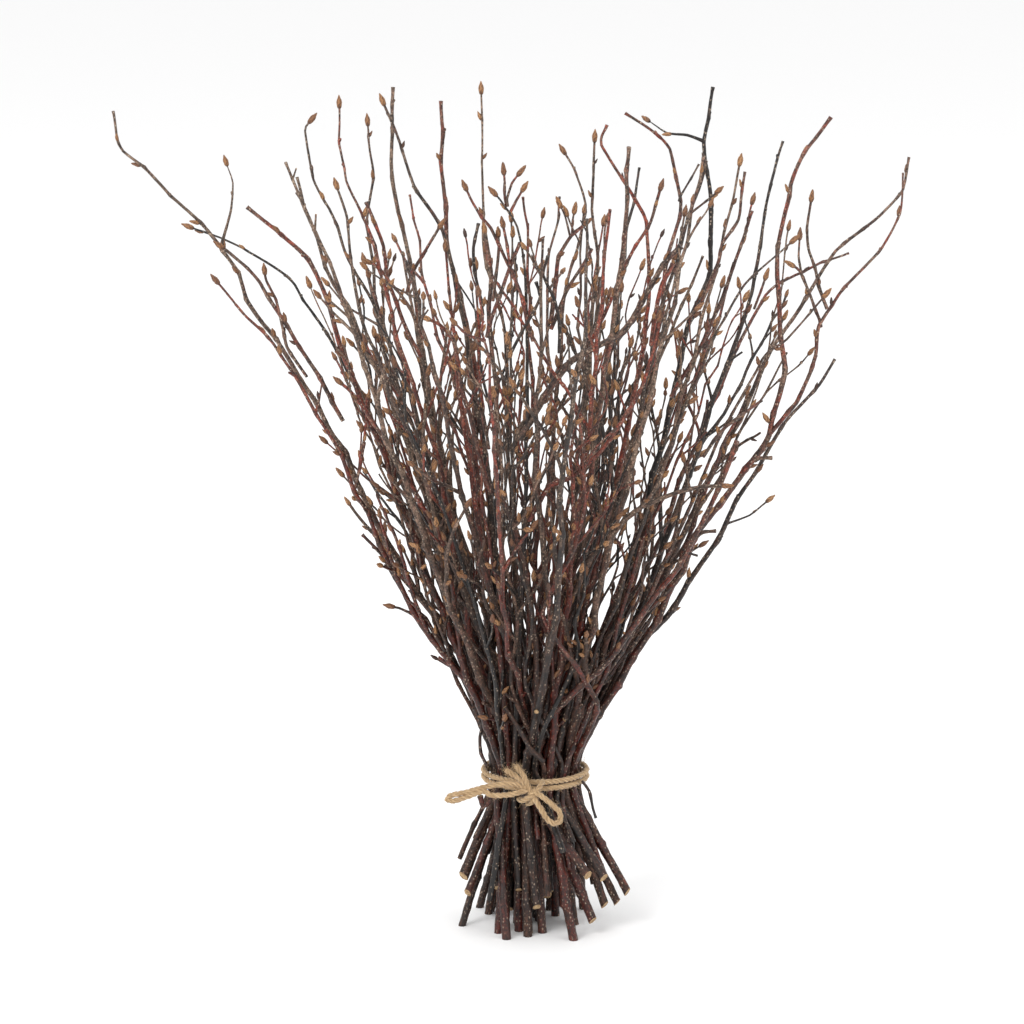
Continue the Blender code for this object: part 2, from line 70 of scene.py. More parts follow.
# One twig
BUTT_RADIUS = 2.35 * MM
TIP_SHARE = 0.31
BUD_LENGTH = 6.6 * MM
BUD_RADIUS = 1.45 * MM

# The twine
TWINE_RADIUS = 1.45 * MM
WRAP_GAP = 0.35 * MM
WRAP_RADIUS = 25.6 * MM
WRAP_CORNERS = 18

# The view that the front courses are given in: from 12 degrees above and 2.5 m away
VIEW_TILT = math.radians(12)
VIEW_DISTANCE = 2500.0 * MM
VIEW_CENTRE = (-11.5 * MM, 204.5 * MM)
VIEW_WIDTH = 512.0 * MM
VIEW_LOOK = np.array([0.0, math.cos(VIEW_TILT), -math.sin(VIEW_TILT)])
VIEW_RISE = np.array([0.0, math.sin(VIEW_TILT), math.cos(VIEW_TILT)])

# Front courses: depth of the tip behind the axis, what ends it, and its points from low to tip
FRONT_TWIGS = [
    (-10, "cut", [(-58, 160), (-80, 200), (-95, 233), (-118, 273), (-137, 300),
                  (-157, 337), (-180, 362), (-206, 385), (-211, 405)]),
    (40, "bud", [(-45, 165), (-68, 222), (-95, 278), (-120, 318), (-145, 336),
                 (-175, 348)]),
    (-40, "cut", [(-53, 170), (-75, 230), (-94, 278), (-105, 313), (-113, 331),
                  (-127, 343), (-144, 357)]),
    (30, "cut", [(-46, 185), (-66, 245), (-90, 300), (-101, 320), (-112, 348),
                 (-119, 372)]),
    (-30, "bud", [(-40, 180), (-57, 245), (-81, 310), (-95, 335), (-103, 356),
                  (-111, 371), (-115, 395), (-111, 403)]),
    (40, "bud", [(-42, 190), (-61, 260), (-77, 323), (-86, 352), (-95, 370),
                 (-97, 388), (-98, 411)]),
    (90, "bud", [(-42, 165), (-60, 228), (-77, 295), (-83, 348), (-81, 375),
                 (-84, 402)]),
    (-90, "bud", [(-44, 190), (-66, 250), (-87, 302), (-92, 335), (-94, 352),
                  (-100, 370)]),
    (-70, "bud", [(-53, 142), (-78, 190), (-102, 241), (-130, 288), (-145, 303),
                  (-155, 315), (-161, 322)]),
    (20, "cut", [(-35, 165), (-47, 235), (-57, 290), (-61, 323), (-69, 355),
                 (-72, 380), (-71, 417)]),
    (-35, "bud", [(-21, 175), (-27, 235), (-36, 300), (-47, 345), (-60, 368),
                  (-68, 390), (-77, 412)]),
    (-20, "cut", [(-22, 170), (-27, 235), (-31, 285), (-37, 308), (-44, 340),
                  (-47, 375), (-47, 410)]),
    (60, "bud", [(-11, 180), (-13, 240), (-15, 295), (-25, 333), (-27, 350),
                 (-26, 385), (-27, 418)]),
    (-100, "bud", [(-6, 190), (-4, 260), (-5, 325), (-9, 347), (-17, 360),
                   (-22, 366)]),
    (-50, "cut", [(3, 200), (-2, 280), (-4, 330), (-6, 362)]),
    (110, "bud", [(8, 190), (10, 255), (15, 315), (21, 335), (25, 358), (21, 374),
                  (13, 387)]),
    (30, "bud", [(15, 165), (20, 215), (27, 285), (31, 332), (28, 356), (29, 375),
                 (30, 394)]),
    (-40, "cut", [(31, 180), (47, 250), (57, 310), (56, 348), (49, 361), (33, 388),
                  (36, 398)]),
    (-90, "cut", [(22, 185), (33, 260), (41, 315), (45, 340), (47, 387)]),
    (-10, "cut", [(43, 155), (57, 210), (69, 262), (76, 297), (87, 325), (88, 363),
                  (84, 390), (89, 417)]),
    (70, "cut", [(34, 170), (47, 228), (60, 285), (67, 332), (72, 360), (67, 386),
                 (57, 396), (45, 404)]),
    (-60, "bud", [(46, 165), (63, 222), (78, 277), (90, 325), (99, 362),
                  (103, 382)]),
    (60, "cut", [(53, 158), (73, 212), (92, 265), (109, 315), (115, 357),
                 (120, 378), (124, 390)]),
    (-20, "cut", [(62, 153), (82, 195), (102, 221), (117, 243), (124, 275),
                  (121, 323), (127, 368), (142, 393), (148, 402)]),
    (30, "cut", [(57, 157), (78, 202), (100, 247), (117, 285), (131, 305),
                 (150, 335), (172, 353), (184, 366), (187, 382)]),
    (-90, "bud", [(40, 160), (58, 212), (77, 262), (92, 296), (105, 318),
                  (131, 342)]),
    (90, "cut", [(56, 178), (77, 230), (97, 277), (115, 313), (130, 323),
                 (157, 334)]),
    (-60, "bud", [(52, 152), (72, 195), (92, 240), (113, 281), (126, 291),
                  (147, 315)]),
    (50, "cut", [(65, 150), (90, 190), (112, 228), (126, 250), (142, 268),
                 (150, 281)]),
]

# The second arm of a main fork: its twig, the point of the twig it leaves, tip depth, course
FORKS = [
    (24, 6, -40, "cut", [(131, 259), (140, 283), (142, 298), (152, 313), (173, 337),
                         (183, 354), (184, 374)]),
]

# Side shoots that show well from the front, given in the same way as the forks
SEEN_SHOOTS = [
    (1, 8, -20, [(-152, 355), (-151, 369), (-154, 378)]),
    (1, 4, -30, [(-84, 206), (-90, 211)]),
    (20, 9, 0, [(76, 393), (66, 394), (57, 400)]),
]

# Front twigs that show only buds
BARE_TWIGS = [17]

# Cut ends that show at the foot, in millimetres: across, depth behind the axis, height
FEET = [
    (-36, -5, 23.5), (-34, -15, 18), (-36.5, -8, 0), (-13.5, -30, 0), (-3.5, -27, 0),
    (3.5, -20, 0), (18.5, -33, 0), (29, -25, 6.3), (35, -15, 11.5), (41.5, -10, 11.5),
    (46.5, -12, 17.5), (34.5, -28, 29.5), (27, -32, 32.5),
]

# The ends of the twine in millimetres, seen from the front: across, up, depth behind the axis
LEFT_LOOP = [
    (-3.5, 66, -31.5), (-10, 68.5, -33), (-17, 68.5, -33), (-25, 67, -31.5), (-34, 64.5, -30),
    (-42, 62.8, -29), (-44, 60.8, -29), (-40.5, 60, -29.5), (-33, 62.5, -30.5), (-26, 65, -32),
    (-21.5, 62.8, -33), (-12, 63.2, -34), (-4, 65.5, -33),
]
RIGHT_LOOP = [
    (-3, 66, -31.5), (1.5, 58.5, -34.5), (6, 51, -37), (9.5, 48.6, -37.5), (12.5, 50, -37.5),
    (12.3, 54.5, -37), (6.5, 60, -35.5), (-1, 65.5, -33),
]
LONG_TAIL = [(-3.5, 66.5, -32), (-9, 72, -33), (-14.5, 75.5, -33)]
SHORT_TAIL = [(-3, 66.5, -32), (-6, 73, -33.5), (-9.5, 77.5, -33)]

# Fans of twigs that fill the round of the bundle: count, middle bearing, half spread,
# reach of the tips from the axis, and the heights of the tips
FANS = [
    (9, 90, 56, (95, 172), (318, 372)),
    (9, -90, 56, (95, 178), (335, 405)),
    (4, 0, 180, (30, 70), (270, 370)),
]

# The thinner twigs that fill the middle, and how many pieces they are gathered in
EXTRA_TWIGS = 34
EXTRA_BUTT = 1.7 * MM
EXTRA_PIECES = 6

# Growth finer than the solids: a stem's sides and the relief of its bark, how far it bends and
# swells at its nodes, how slim buds are, and the twigs that stay thick up to the tip
TWIG_SIDES = 8
BARK_RELIEF = 0.5
KINK = 1.15 * MM
NODE_SWELL = 0.3
SLIM_BUD = 0.9
THICK_TIPS = {3, 10, 12, 19, 20, 24}

# Heights up to which a stem has scars only, nothing at all, shoots and stubs, and long shoots,
# and the height above which its growth is sparser
SCARS_UP_TO = 62.0 * MM
BARE_UP_TO = 98.0 * MM
STUBS_UP_TO = 150.0 * MM
LONG_SHOOTS_UP_TO = 270.0 * MM
SPARSE_ABOVE = 290.0 * MM

# The twine's twist, the sides of a ply and a fibre, loose fibres per metre of its turns and of
# its ends, and at each frayed tip
TWINE_LAY = 8.5 * MM
PLY_SIDES = 7
PLY_RELIEF = 0.12
FIBRE_SIDES = 3
FIBRE_RADIUS = 0.05 * MM
TURN_FIBRES = 1600
END_FIBRES = 2400
TIP_FIBRES = 150

# Strands laid over the knot, in millimetres: across, depth behind the axis, height
KNOT_STRANDS = [
    [(-6, -25, 80), (-5, -29, 80.5), (-3, -32.5, 77), (-1.5, -33.4, 73.5), (-2, -31.5, 70),
     (-4, -27.5, 68.5)],
    [(3.5, -25, 79), (3, -29.5, 79), (1, -33, 76.5), (-3.5, -33.8, 73), (-6.5, -31.5, 71),
     (-8, -27.5, 70.5)],
]

# Twigs that show in front of the others, besides those that are solids: depth of foot and tip,
# radius there, redness, greyness, what ends it, how full of buds, and its points (across, up)
SEEN_TWIGS = [
    (-27, -78, 1.8, 0.9, 0.5, 0.35, "bud", 0.5,
     [(0.3, 87.3), (-0.2, 99.5), (0.3, 118.5), (1, 137), (-1.5, 151), (-3, 163.5),
      (-5.3, 178.5), (-9, 194), (-12, 202.5), (-17.5, 212.5), (-19.8, 224.5), (-19, 247.5),
      (-20, 270.5), (-23, 300), (-22, 325), (-25, 344)]),
    (-34, -58, 1.6, 1.1, 0.75, 0.3, "cut", 0.5,
     [(8.5, 104), (24.5, 118.5), (37, 130.5), (47, 144.5), (59.5, 162), (72, 177), (84, 200),
      (93, 219), (101, 240)]),
    (-31, -30, 1.2, 1.0, 0.15, 0.55, "cut", 0.0,
     [(4.5, 79.5), (-2.7, 87), (-9, 97.5), (-15.2, 107)]),
    (-36, -62, 1.6, 0.9, 0.4, 0.8, "bud", 0.4,
     [(9, 138), (14.2, 150), (20.8, 167.5), (26.5, 179.5), (31.5, 186), (40, 196), (54, 207.5),
      (70.5, 214), (83, 217), (93.8, 217.5)]),
    (-66, -72, 1.7, 1.2, 0.4, 0.3, "cut", 0.9,
     [(-7.5, 240.5), (5.5, 263.5), (18, 280), (29.5, 286.5), (42.5, 293.5), (50, 303),
      (58.5, 319), (65.5, 329.5), (73, 337.5)]),
    (-58, -80, 1.25, 0.8, 0.9, 0.1, "bud", 0.6,
     [(-3, 200), (7, 217.5), (18, 222), (27, 229.5), (33.8, 236), (41, 246), (50.5, 260.8),
      (56, 275), (60, 288), (62, 300)]),
    (-58, -62, 1.2, 1.2, 0.3, 1.0, "cut", 0.0, [(-11, 236), (-7.8, 246), (-2.8, 253)]),
    (-58, -66, 1.25, 0.8, 0.7, 0.2, "bud", 0.5,
     [(-22, 214), (-29, 236), (-32.5, 252.5), (-36, 264), (-38.5, 277.5), (-41, 290.5),
      (-47.5, 298), (-52.5, 300.5)]),
    (-84, -98, 1.0, 0.6, 0.7, 0.2, "bud", 0.4,
     [(-1, 290), (-4.5, 303), (-8, 316), (-11.5, 324.5), (-16.3, 334.5), (-22, 346.5),
      (-26.7, 352), (-31.5, 360), (-34.2, 365.5)]),
    (-80, -95, 1.0, 0.8, 0.6, 0.2, "cut", 0.5,
     [(-24, 292), (-19.5, 307), (-12.5, 326.5), (-7.5, 339)]),
    (-80, -90, 0.8, 0.6, 0.5, 0.3, "bud", 0.4,
     [(-21, 310), (-18.7, 326.5), (-18, 336.7), (-18.3, 342.5)]),
    (-92, -96, 0.75, 0.6, 0.7, 0.1, "bud", 0.0, [(-12.4, 326), (-14.7, 340.7), (-15.8, 347)]),
    (-70, -80, 0.8, 0.7, 0.1, 0.2, "cut", 0.0,
     [(-26, 303), (-30, 325), (-30.6, 336.7), (-28.3, 348.7)]),
    (-96, -98, 0.7, 0.5, 0.7, 0.2, "bud", 0.0,
     [(-14.2, 357.6), (-14.9, 361), (-15, 369.5), (-15.5, 373.5)]),
    (-97, -97, 0.7, 0.5, 0.6, 0.2, "bud", 0.0,
     [(-13.6, 357.2), (-14, 361), (-11.5, 369), (-8.5, 373)]),
    (-96, -99, 0.8, 0.6, 0.7, 0.2, "bud", 0.0, [(-12, 355), (-9.5, 360), (-6.5, 365)]),
    (-36, -44, 0.9, 0.7, 0.6, 0.3, "bud", 0.5,
     [(-64, 314), (-61, 324), (-55.5, 334.5), (-48, 346.5)]),
    (-30, -34, 1.1, 0.7, 0.55, 0.35, "bud", 0.5,
     [(-96, 250), (-103, 263), (-110, 275), (-123, 295.5), (-131.5, 309), (-138, 319.5),
      (-144, 326), (-154, 335), (-156, 336.5)]),
    (-30, -34, 0.8, 0.6, 0.55, 0.35, "bud", 0.3,
     [(-114, 272), (-124, 287), (-126.5, 297.5), (-129.5, 310.5), (-134.3, 320), (-135, 323.5)]),
    (-30, -36, 1.0, 0.8, 0.65, 0.15, "cut", 0.5,
     [(-57, 282), (-63, 294), (-68, 305), (-74, 322), (-76, 337.5), (-80, 349), (-84.5, 359.5)]),
    (-34, -44, 0.8, 0.6, 0.6, 0.3, "bud", 0.2,
     [(-55, 290), (-62, 305), (-67.5, 313.5), (-78.8, 327), (-82, 329)]),
    (-34, -44, 0.7, 0.6, 0.6, 0.3, "bud", 0.0,
     [(-77, 302), (-79.8, 310.7), (-81.7, 316), (-83, 322)]),
    (26, 22, 0.9, 0.6, 0.5, 0.5, "bud", 0.4,
     [(146, 306), (142, 318), (140.5, 325), (137, 336), (136.5, 347), (138, 360)]),
    (-20, -24, 0.9, 0.6, 0.5, 0.5, "bud", 0.3,
     [(143, 297), (142.4, 301), (138, 312.5), (132.3, 325), (129.5, 327.3)]),
    (-22, -24, 0.6, 0.5, 0.5, 0.5, "bud", 0.0, [(133.5, 322.5), (132, 332.5), (132.3, 341)]),
    (-40, -46, 1.1, 0.7, 0.6, 0.2, "cut", 0.5,
     [(68, 262), (77, 277), (84, 290), (92.2, 307.7), (97, 320), (104.5, 342), (108.5, 355)]),
    (-52, -60, 1.0, 0.6, 0.6, 0.3, "cut", 0.6,
     [(82, 306), (87, 319), (92, 330), (94, 339), (101.8, 350.7), (103.5, 363), (105, 374.6)]),
    (-48, -50, 0.7, 0.6, 0.6, 0.3, "bud", 0.0, [(109.5, 306), (112.3, 313.5), (115, 321)]),
    (-40, -50, 0.9, 0.6, 0.35, 0.7, "cut", 0.4,
     [(55, 262), (65.5, 288.5), (75, 310.5), (84, 332.5)]),
    (-72, -74, 1.1, 1.0, 0.9, 0.1, "cut", 0.3, [(58, 288), (60.5, 303), (63, 317), (69, 328.7)]),
    (-60, -66, 1.0, 0.7, 0.7, 0.2, "bud", 0.3,
     [(28, 290), (33, 300), (38, 310), (45.4, 328.7), (57.8, 349.8), (62.5, 365.5)]),
    (60, 64, 0.7, 0.5, 0.3, 0.4, "cut", 0.0, [(72, 360), (73, 363), (82, 378.5)]),
    (-44, -48, 0.9, 0.7, 0.5, 0.3, "cut", 0.2, [(84, 232), (95.4, 247.3), (113.6, 260.5)]),
    (-30, -34, 0.9, 0.8, 0.5, 0.9, "cut", 0.0, [(110, 230), (112.8, 231.5), (118.5, 231.5)]),
    (-32, -36, 0.9, 0.8, 0.5, 0.6, "cut", 0.0, [(80, 191), (83.8, 194.6), (90.5, 195)]),
    (-32, -36, 0.7, 0.5, 0.2, 0.1, "cut", 0.0, [(74, 186), (77, 184), (81.3, 182.6)]),
    (-18, -22, 1.1, 0.7, 0.55, 0.25, "cut", 0.9,
     [(-45, 135), (-55, 151), (-61, 157), (-70.4, 171), (-77.3, 184), (-86.4, 193.2)]),
    (-22, -24, 0.7, 0.6, 0.4, 0.3, "bud", 0.0,
     [(-55, 149), (-61.9, 153.4), (-68, 156.4), (-70.5, 157)]),
    (-44, -48, 1.3, 0.8, 0.8, 0.1, "bud", 1.0,
     [(-45, 188), (-56.5, 207.7), (-65.7, 224.5), (-77.2, 243.7), (-85.7, 256.7), (-92.5, 265),
      (-96.5, 268.5)]),
    (-56, -60, 0.8, 0.6, 0.5, 0.2, "bud", 0.0,
     [(-23, 236), (-25.2, 247.5), (-26, 253), (-29.8, 262), (-31.5, 266)]),
    (-80, -90, 0.8, 0.7, 0.05, 0.1, "cut", 0.0,
     [(12, 284), (12.5, 297), (10, 309.5), (4, 323), (6.4, 332.5)]),
    (-84, -90, 0.8, 0.7, 0.05, 0.1, "cut", 0.0,
     [(-12, 284), (-7, 293), (-2, 302), (2.8, 312), (0.5, 319.5)]),
    (-80, -92, 1.1, 0.7, 0.7, 0.2, "bud", 0.6,
     [(8, 300), (11.5, 329.5), (13.2, 334.5), (18, 342.5), (24.4, 348)]),
    (-88, -90, 0.6, 0.5, 0.6, 0.2, "bud", 0.0, [(18.5, 343), (18.8, 350), (19.5, 354)]),
    (-88, -90, 0.6, 0.4, 0.4, 0.4, "bud", 0.0, [(17.5, 342.5), (15.2, 352), (13, 357)]),
    (-70, -80, 1.0, 0.7, 0.6, 0.2, "cut", 0.7,
     [(8, 296), (15.5, 313.7), (20.4, 322.5), (28.4, 336)]),
    (-29, -30, 1.3, 1.2, 0.8, 0.2, "cut", 0.0, [(-21, 68), (-22.5, 60), (-26, 57), (-27.5, 62.5)]),
    (-16, -22, 0.8, 0.6, 0.1, 0.2, "cut", 0.0, [(23.5, 70), (27, 65), (29, 56), (30.5, 51.5)]),
    (-18, -10, 0.9, 0.8, 0.4, 0.3, "cut", 0.0, [(-24, 77.5), (-27, 84), (-27.5, 92), (-26, 99)]),
]

# The three kinds of bark, and for each its redness from and to and its greyness from and to
LOOKS = [(0.65, 1.1, 0.0, 0.4), (0.35, 0.65, 0.45, 1.0), (0.05, 0.45, 0.1, 0.55)]

# Twigs with a redness and greyness of their own
OWN_LOOKS = {1: (0.35, 0.7), 2: (-0.1, 0.0), 20: (-0.15, 0.0), 3: (0.8, 0.1), 24: (0.7, 0.3)}

# How far out side shoots may reach: height and distance from the axis, in millimetres
OUTLINE = [(80, 27), (110, 37), (135, 50), (160, 64), (185, 78), (210, 91), (260, 118),
           (310, 147), (425, 197)]


def unit(vectors):
    """Each vector at length one."""
    return vectors / np.linalg.norm(vectors, axis=-1, keepdims=True)


def seen_from_front(across, up, depth):
    """The point at this depth that is seen at (across, up) from the front."""
    side = np.array([1.0, 0.0, 0.0])
    eye = VIEW_CENTRE[0] * side + VIEW_CENTRE[1] * VIEW_RISE - VIEW_DISTANCE * VIEW_LOOK
    target = across * side + up * VIEW_RISE
    share = (depth - eye[1]) / (target[1] - eye[1])
    return eye + share * (target - eye)


def front_course(points, start_depth, tip_depth, end):
    """A course in space from points seen from the front, deepening from the neck to the tip. Its
    last point is the tip of its bud, so a course with a bud stops short of it."""
    low, high = TIE_HEIGHT, points[-1][1] * MM
    course = []
    for across, up in points:
        share = min(max((up * MM - low) / (high - low), 0.0), 1.0)
        depth = start_depth + (tip_depth * MM - start_depth) * share
        course.append(seen_from_front(across * MM, up * MM, depth))
    if end == "bud":
        course[-1] = course[-1] - unit(course[-1] - course[-2]) * BUD_LENGTH * 0.6
    return course


def fan_courses():
    """Courses above the neck of the twigs that fan out by rule."""
    rng = np.random.default_rng(11)
    courses = []
    for count, bearing, spread, reach, heights in FANS:
        for step in range(count):
            angle = math.radians(bearing + spread * (2 * (step + 0.5) / count - 1))
            angle += rng.uniform(-0.08, 0.08)
            tip_reach = rng.uniform(*reach) * MM
            tip_height = rng.uniform(*heights) * MM
            bow = rng.uniform(0.85, 1.25)
            outward = np.array([math.cos(angle), math.sin(angle), 0.0])
            sideways = np.array([-outward[1], outward[0], 0.0])
            course = []
            for share in (0.28, 0.56, 0.8, 1.0):
                sway = rng.uniform(-4, 4) * MM
                away = 20 * MM + (tip_reach - 20 * MM) * share ** bow
                height = NECK_HIGH + (tip_height - NECK_HIGH) * share
                course.append(outward * away + sideways * sway + np.array([0, 0, height]))
            courses.append(course)
    return courses


def neck_slots(count):
    """Evenly spread places inside the neck, from the middle outwards."""
    turn = math.pi * (3 - math.sqrt(5))
    room = NECK_RADIUS - BUTT_RADIUS
    slots = []
    for k in range(count):
        away = room * math.sqrt((k + 0.5) / count)
        slots.append(np.array([away * math.cos(k * turn), away * math.sin(k * turn)]))
    return slots


def share_out_slots(leans, slots):
    """Give each slot, the outermost first, the twig that leans most nearly its way."""
    rng = np.random.default_rng(5)
    steepest = max(np.linalg.norm(lean) for lean in leans)
    wish = [lean / steepest * 1.3 + rng.normal(0, 0.16, 2) for lean in leans]
    free = set(range(len(leans)))
    chosen = {}
    for slot in reversed(slots):
        place = slot / NECK_RADIUS
        best = min(sorted(free), key=lambda k: float(np.linalg.norm(wish[k] - place)))
        chosen[best] = slot
        free.remove(best)
    return chosen


def twig_layout():
    """Every twig before it is pressed apart: points from foot to tip, and its butt radius."""
    rng = np.random.default_rng(3)
    fans = fan_courses()
    leans = [np.array([points[-1][0] * MM, depth * MM]) for depth, _, points in FRONT_TWIGS]
    leans += [course[-1][:2] for course in fans]
    slots = share_out_slots(leans, neck_slots(len(leans)))
    twigs = []
    for number in range(len(leans)):
        slot = slots[number]
        if number < len(FRONT_TWIGS):
            depth, end, points = FRONT_TWIGS[number]
            upper = front_course(points, slot[1], depth, end)
        else:
            upper = fans[number - len(FRONT_TWIGS)]
            end = "bud" if rng.random() < 0.5 else "cut"
        grounded = number % 3 != 1 or np.linalg.norm(slot) < 6 * MM
        foot_height = 0.0 if grounded else rng.uniform(3, 24) * MM
        twist = FOOT_TWIST + rng.uniform(-0.25, 0.25)
        splay = (FOOT_SPLAY + rng.uniform(-0.22, 0.16)) * (NECK_LOW - foot_height) / NECK_LOW
        splay = 1 + (splay - 1) * min(1.0, np.linalg.norm(slot) / (9 * MM))
        turned = np.array([slot[0] * math.cos(twist) - slot[1] * math.sin(twist),
                           slot[0] * math.sin(twist) + slot[1] * math.cos(twist)])
        foot = slot + (turned * splay - slot) * (NECK_LOW - foot_height) / NECK_LOW
        course = [np.array([foot[0], foot[1], foot_height]),
                  np.array([slot[0], slot[1], NECK_LOW]),
                  np.array([slot[0], slot[1], NECK_HIGH])]
        course += upper
        butt = BUTT_RADIUS * rng.uniform(0.76, 1.08)
        if end == "cut":
            butt = BUTT_RADIUS * rng.uniform(0.88, 1.17)
        twigs.append({"course": np.array(course), "butt": butt, "end": end,
                      "grounded": grounded, "number": number + 1})
    place_seen_feet(twigs)
    return twigs


def place_seen_feet(twigs):
    """Move the nearest foot by rule to each cut end that shows in front."""
    free = set(range(len(twigs)))
    for place in FEET:
        foot = np.array(place) * MM
        nearest = min(sorted(free), key=lambda k: float(np.linalg.norm(
            (twigs[k]["course"][0] - foot)[:2])))
        free.remove(nearest)
        twigs[nearest]["course"][0] = foot
        twigs[nearest]["grounded"] = place[2] == 0


def taper(course, butt):
    """The radius at each point of a course, thinning towards the tip."""
    steps = np.linalg.norm(np.diff(course, axis=0), axis=1)
    share = np.concatenate([[0.0], np.cumsum(steps)]) / steps.sum()
    return butt * (1 - (1 - TIP_SHARE) * share ** 1.15)


def nearest_between(a0, a1, b0, b1):
    """Where each pair of straight stretches is closest: both shares and the gap vector."""
    u, v, w = a1 - a0, b1 - b0, a0 - b0
    uu, uv, vv = (u * u).sum(1), (u * v).sum(1), (v * v).sum(1)
    uw, vw = (u * w).sum(1), (v * w).sum(1)
    spread = np.maximum(uu * vv - uv * uv, 1e-18)
    s = np.clip((uv * vw - vv * uw) / spread, 0, 1)
    t = np.clip((uv * s + vw) / vv, 0, 1)
    s = np.clip((uv * t - uw) / uu, 0, 1)
    return s, t, w + u * s[:, None] - v * t[:, None]


def press_apart(twigs, rounds=420, held=0):
    """Move the courses until all twigs clear each other, held inside the neck by the twine. The
    first `held` twigs stay where they are."""
    points = np.concatenate([twig["course"] for twig in twigs])
    radii = np.concatenate([taper(twig["course"], twig["butt"]) for twig in twigs])
    starts = np.cumsum([0] + [len(twig["course"]) for twig in twigs])
    spans = [k for a, b in zip(starts[:-1], starts[1:]) for k in range(a, b - 1)]
    spans = np.array(spans)
    owner = np.concatenate([[n] * (len(twig["course"]) - 1) for n, twig in enumerate(twigs)])
    neck = np.concatenate([[a + 1, a + 2] for a in starts[:-1]])
    level = np.concatenate([[a, a + 1, a + 2] for a in starts[:-1]])
    rest = points.copy()
    still = starts[held]
    first, second = np.triu_indices(len(spans), 1)
    apart = owner[first] != owner[second]
    first, second = spans[first[apart]], spans[second[apart]]
    for turn in range(rounds):
        if turn % 20 == 0:
            middle = (points[first] + points[first + 1] - points[second] - points[second + 1]) / 2
            reach = np.linalg.norm(points[first + 1] - points[first], axis=1)
            reach += np.linalg.norm(points[second + 1] - points[second], axis=1)
            near = np.linalg.norm(middle, axis=1) < reach / 2 + 16 * MM
            one, two = first[near], second[near]
        s, t, gap = nearest_between(points[one], points[one + 1], points[two], points[two + 1])
        distance = np.maximum(np.linalg.norm(gap, axis=1), 1e-7)
        wanted = radii[one] * (1 - s) + radii[one + 1] * s + radii[two] * (1 - t)
        wanted += radii[two + 1] * t + TOUCH_GAP
        short = np.maximum(wanted - distance, 0.0)
        hit = short > 0
        push = gap[hit] / distance[hit, None] * (short[hit, None] * 0.5)
        moves = np.zeros_like(points)
        np.add.at(moves, one[hit], push * (1 - s[hit, None]))
        np.add.at(moves, one[hit] + 1, push * s[hit, None])
        np.add.at(moves, two[hit], -push * (1 - t[hit, None]))
        np.add.at(moves, two[hit] + 1, -push * t[hit, None])
        moves[level, 2] = 0.0
        moves[:still] = 0.0
        points = points + moves * 0.7
        if turn < rounds * 0.6:
            points += (rest - points) * 0.03
            points[level, 2] = rest[level, 2]
        away = np.linalg.norm(points[neck, :2], axis=1)
        room = NECK_RADIUS - radii[neck]
        points[neck, :2] *= np.minimum(1.0, room / np.maximum(away, 1e-6))[:, None]
        points[:still] = rest[:still]
    for n, twig in enumerate(twigs):
        twig["course"] = points[starts[n]:starts[n + 1]]
        twig["radii"] = radii[starts[n]:starts[n + 1]]


class Room:
    """The tubes already placed, to find room for the next one among them."""

    def __init__(self):
        self.near, self.far, self.near_radius, self.far_radius, self.owner = [], [], [], [], []

    def add(self, course, radii, owner):
        for k in range(len(course) - 1):
            self.near.append(course[k])
            self.far.append(course[k + 1])
            self.near_radius.append(radii[k])
            self.far_radius.append(radii[k + 1])
            self.owner.append(owner)

    def is_free(self, course, radii, owner, start=0):
        """Whether the course from its point `start` on clears all tubes but the owner's."""
        near, far = np.array(self.near), np.array(self.far)
        radius = np.maximum(np.array(self.near_radius), np.array(self.far_radius))
        other = np.array([name != owner for name in self.owner])
        for k in range(start, len(course) - 1):
            a0 = np.repeat(course[k][None], len(near), axis=0)
            a1 = np.repeat(course[k + 1][None], len(near), axis=0)
            _, _, gap = nearest_between(a0, a1, near, far)
            clear = np.linalg.norm(gap, axis=1) - radius - max(radii[k], radii[k + 1])
            if np.any(clear[other] < TOUCH_GAP):
                return False
        return True


def with_bud(course, radii, size=1.0):
    """A course and its radii with a pointed bud added at the tip."""
    along = unit(course[-1] - course[-2])
    belly = course[-1] + along * BUD_LENGTH * 0.38 * size
    tip = course[-1] + along * BUD_LENGTH * size
    new_course = np.concatenate([course, [belly, tip]])
    return new_course, np.concatenate([radii, [BUD_RADIUS * size, 0.35 * MM]])


def shoot_from(course, radii, place, bearing, lean, length, thickness):
    """A side shoot with its bud: it leaves the twig leaning out, then bends up along it."""
    k = min(int(place), len(course) - 2)
    share = place - k
    base = course[k] * (1 - share) + course[k + 1] * share
    along = unit(course[k + 1] - course[k])
    aside = unit(np.cross(along, np.array([math.cos(bearing), math.sin(bearing), 0.3])))
    first = unit(along * math.cos(lean) + aside * math.sin(lean))
    second = unit(first + along * 0.35 + np.array([0, 0, 0.2]))
    wood = radii[k] * (1 - share) + radii[k + 1] * share
    if length < 9 * MM:
        course = np.array([base, base + first * (wood + 1.2 * MM)])
        thin = np.array([1.0, 0.9]) * MM
    elif length < 22 * MM:
        course = np.array([base, base + first * length])
        thin = np.array([thickness, thickness * 0.8])
    else:
        bend = base + first * length * 0.55
        course = np.array([base, bend, bend + second * length * 0.45])
        thin = np.array([thickness, thickness * 0.85, thickness * 0.75])
    return with_bud(course, thin, 0.95)


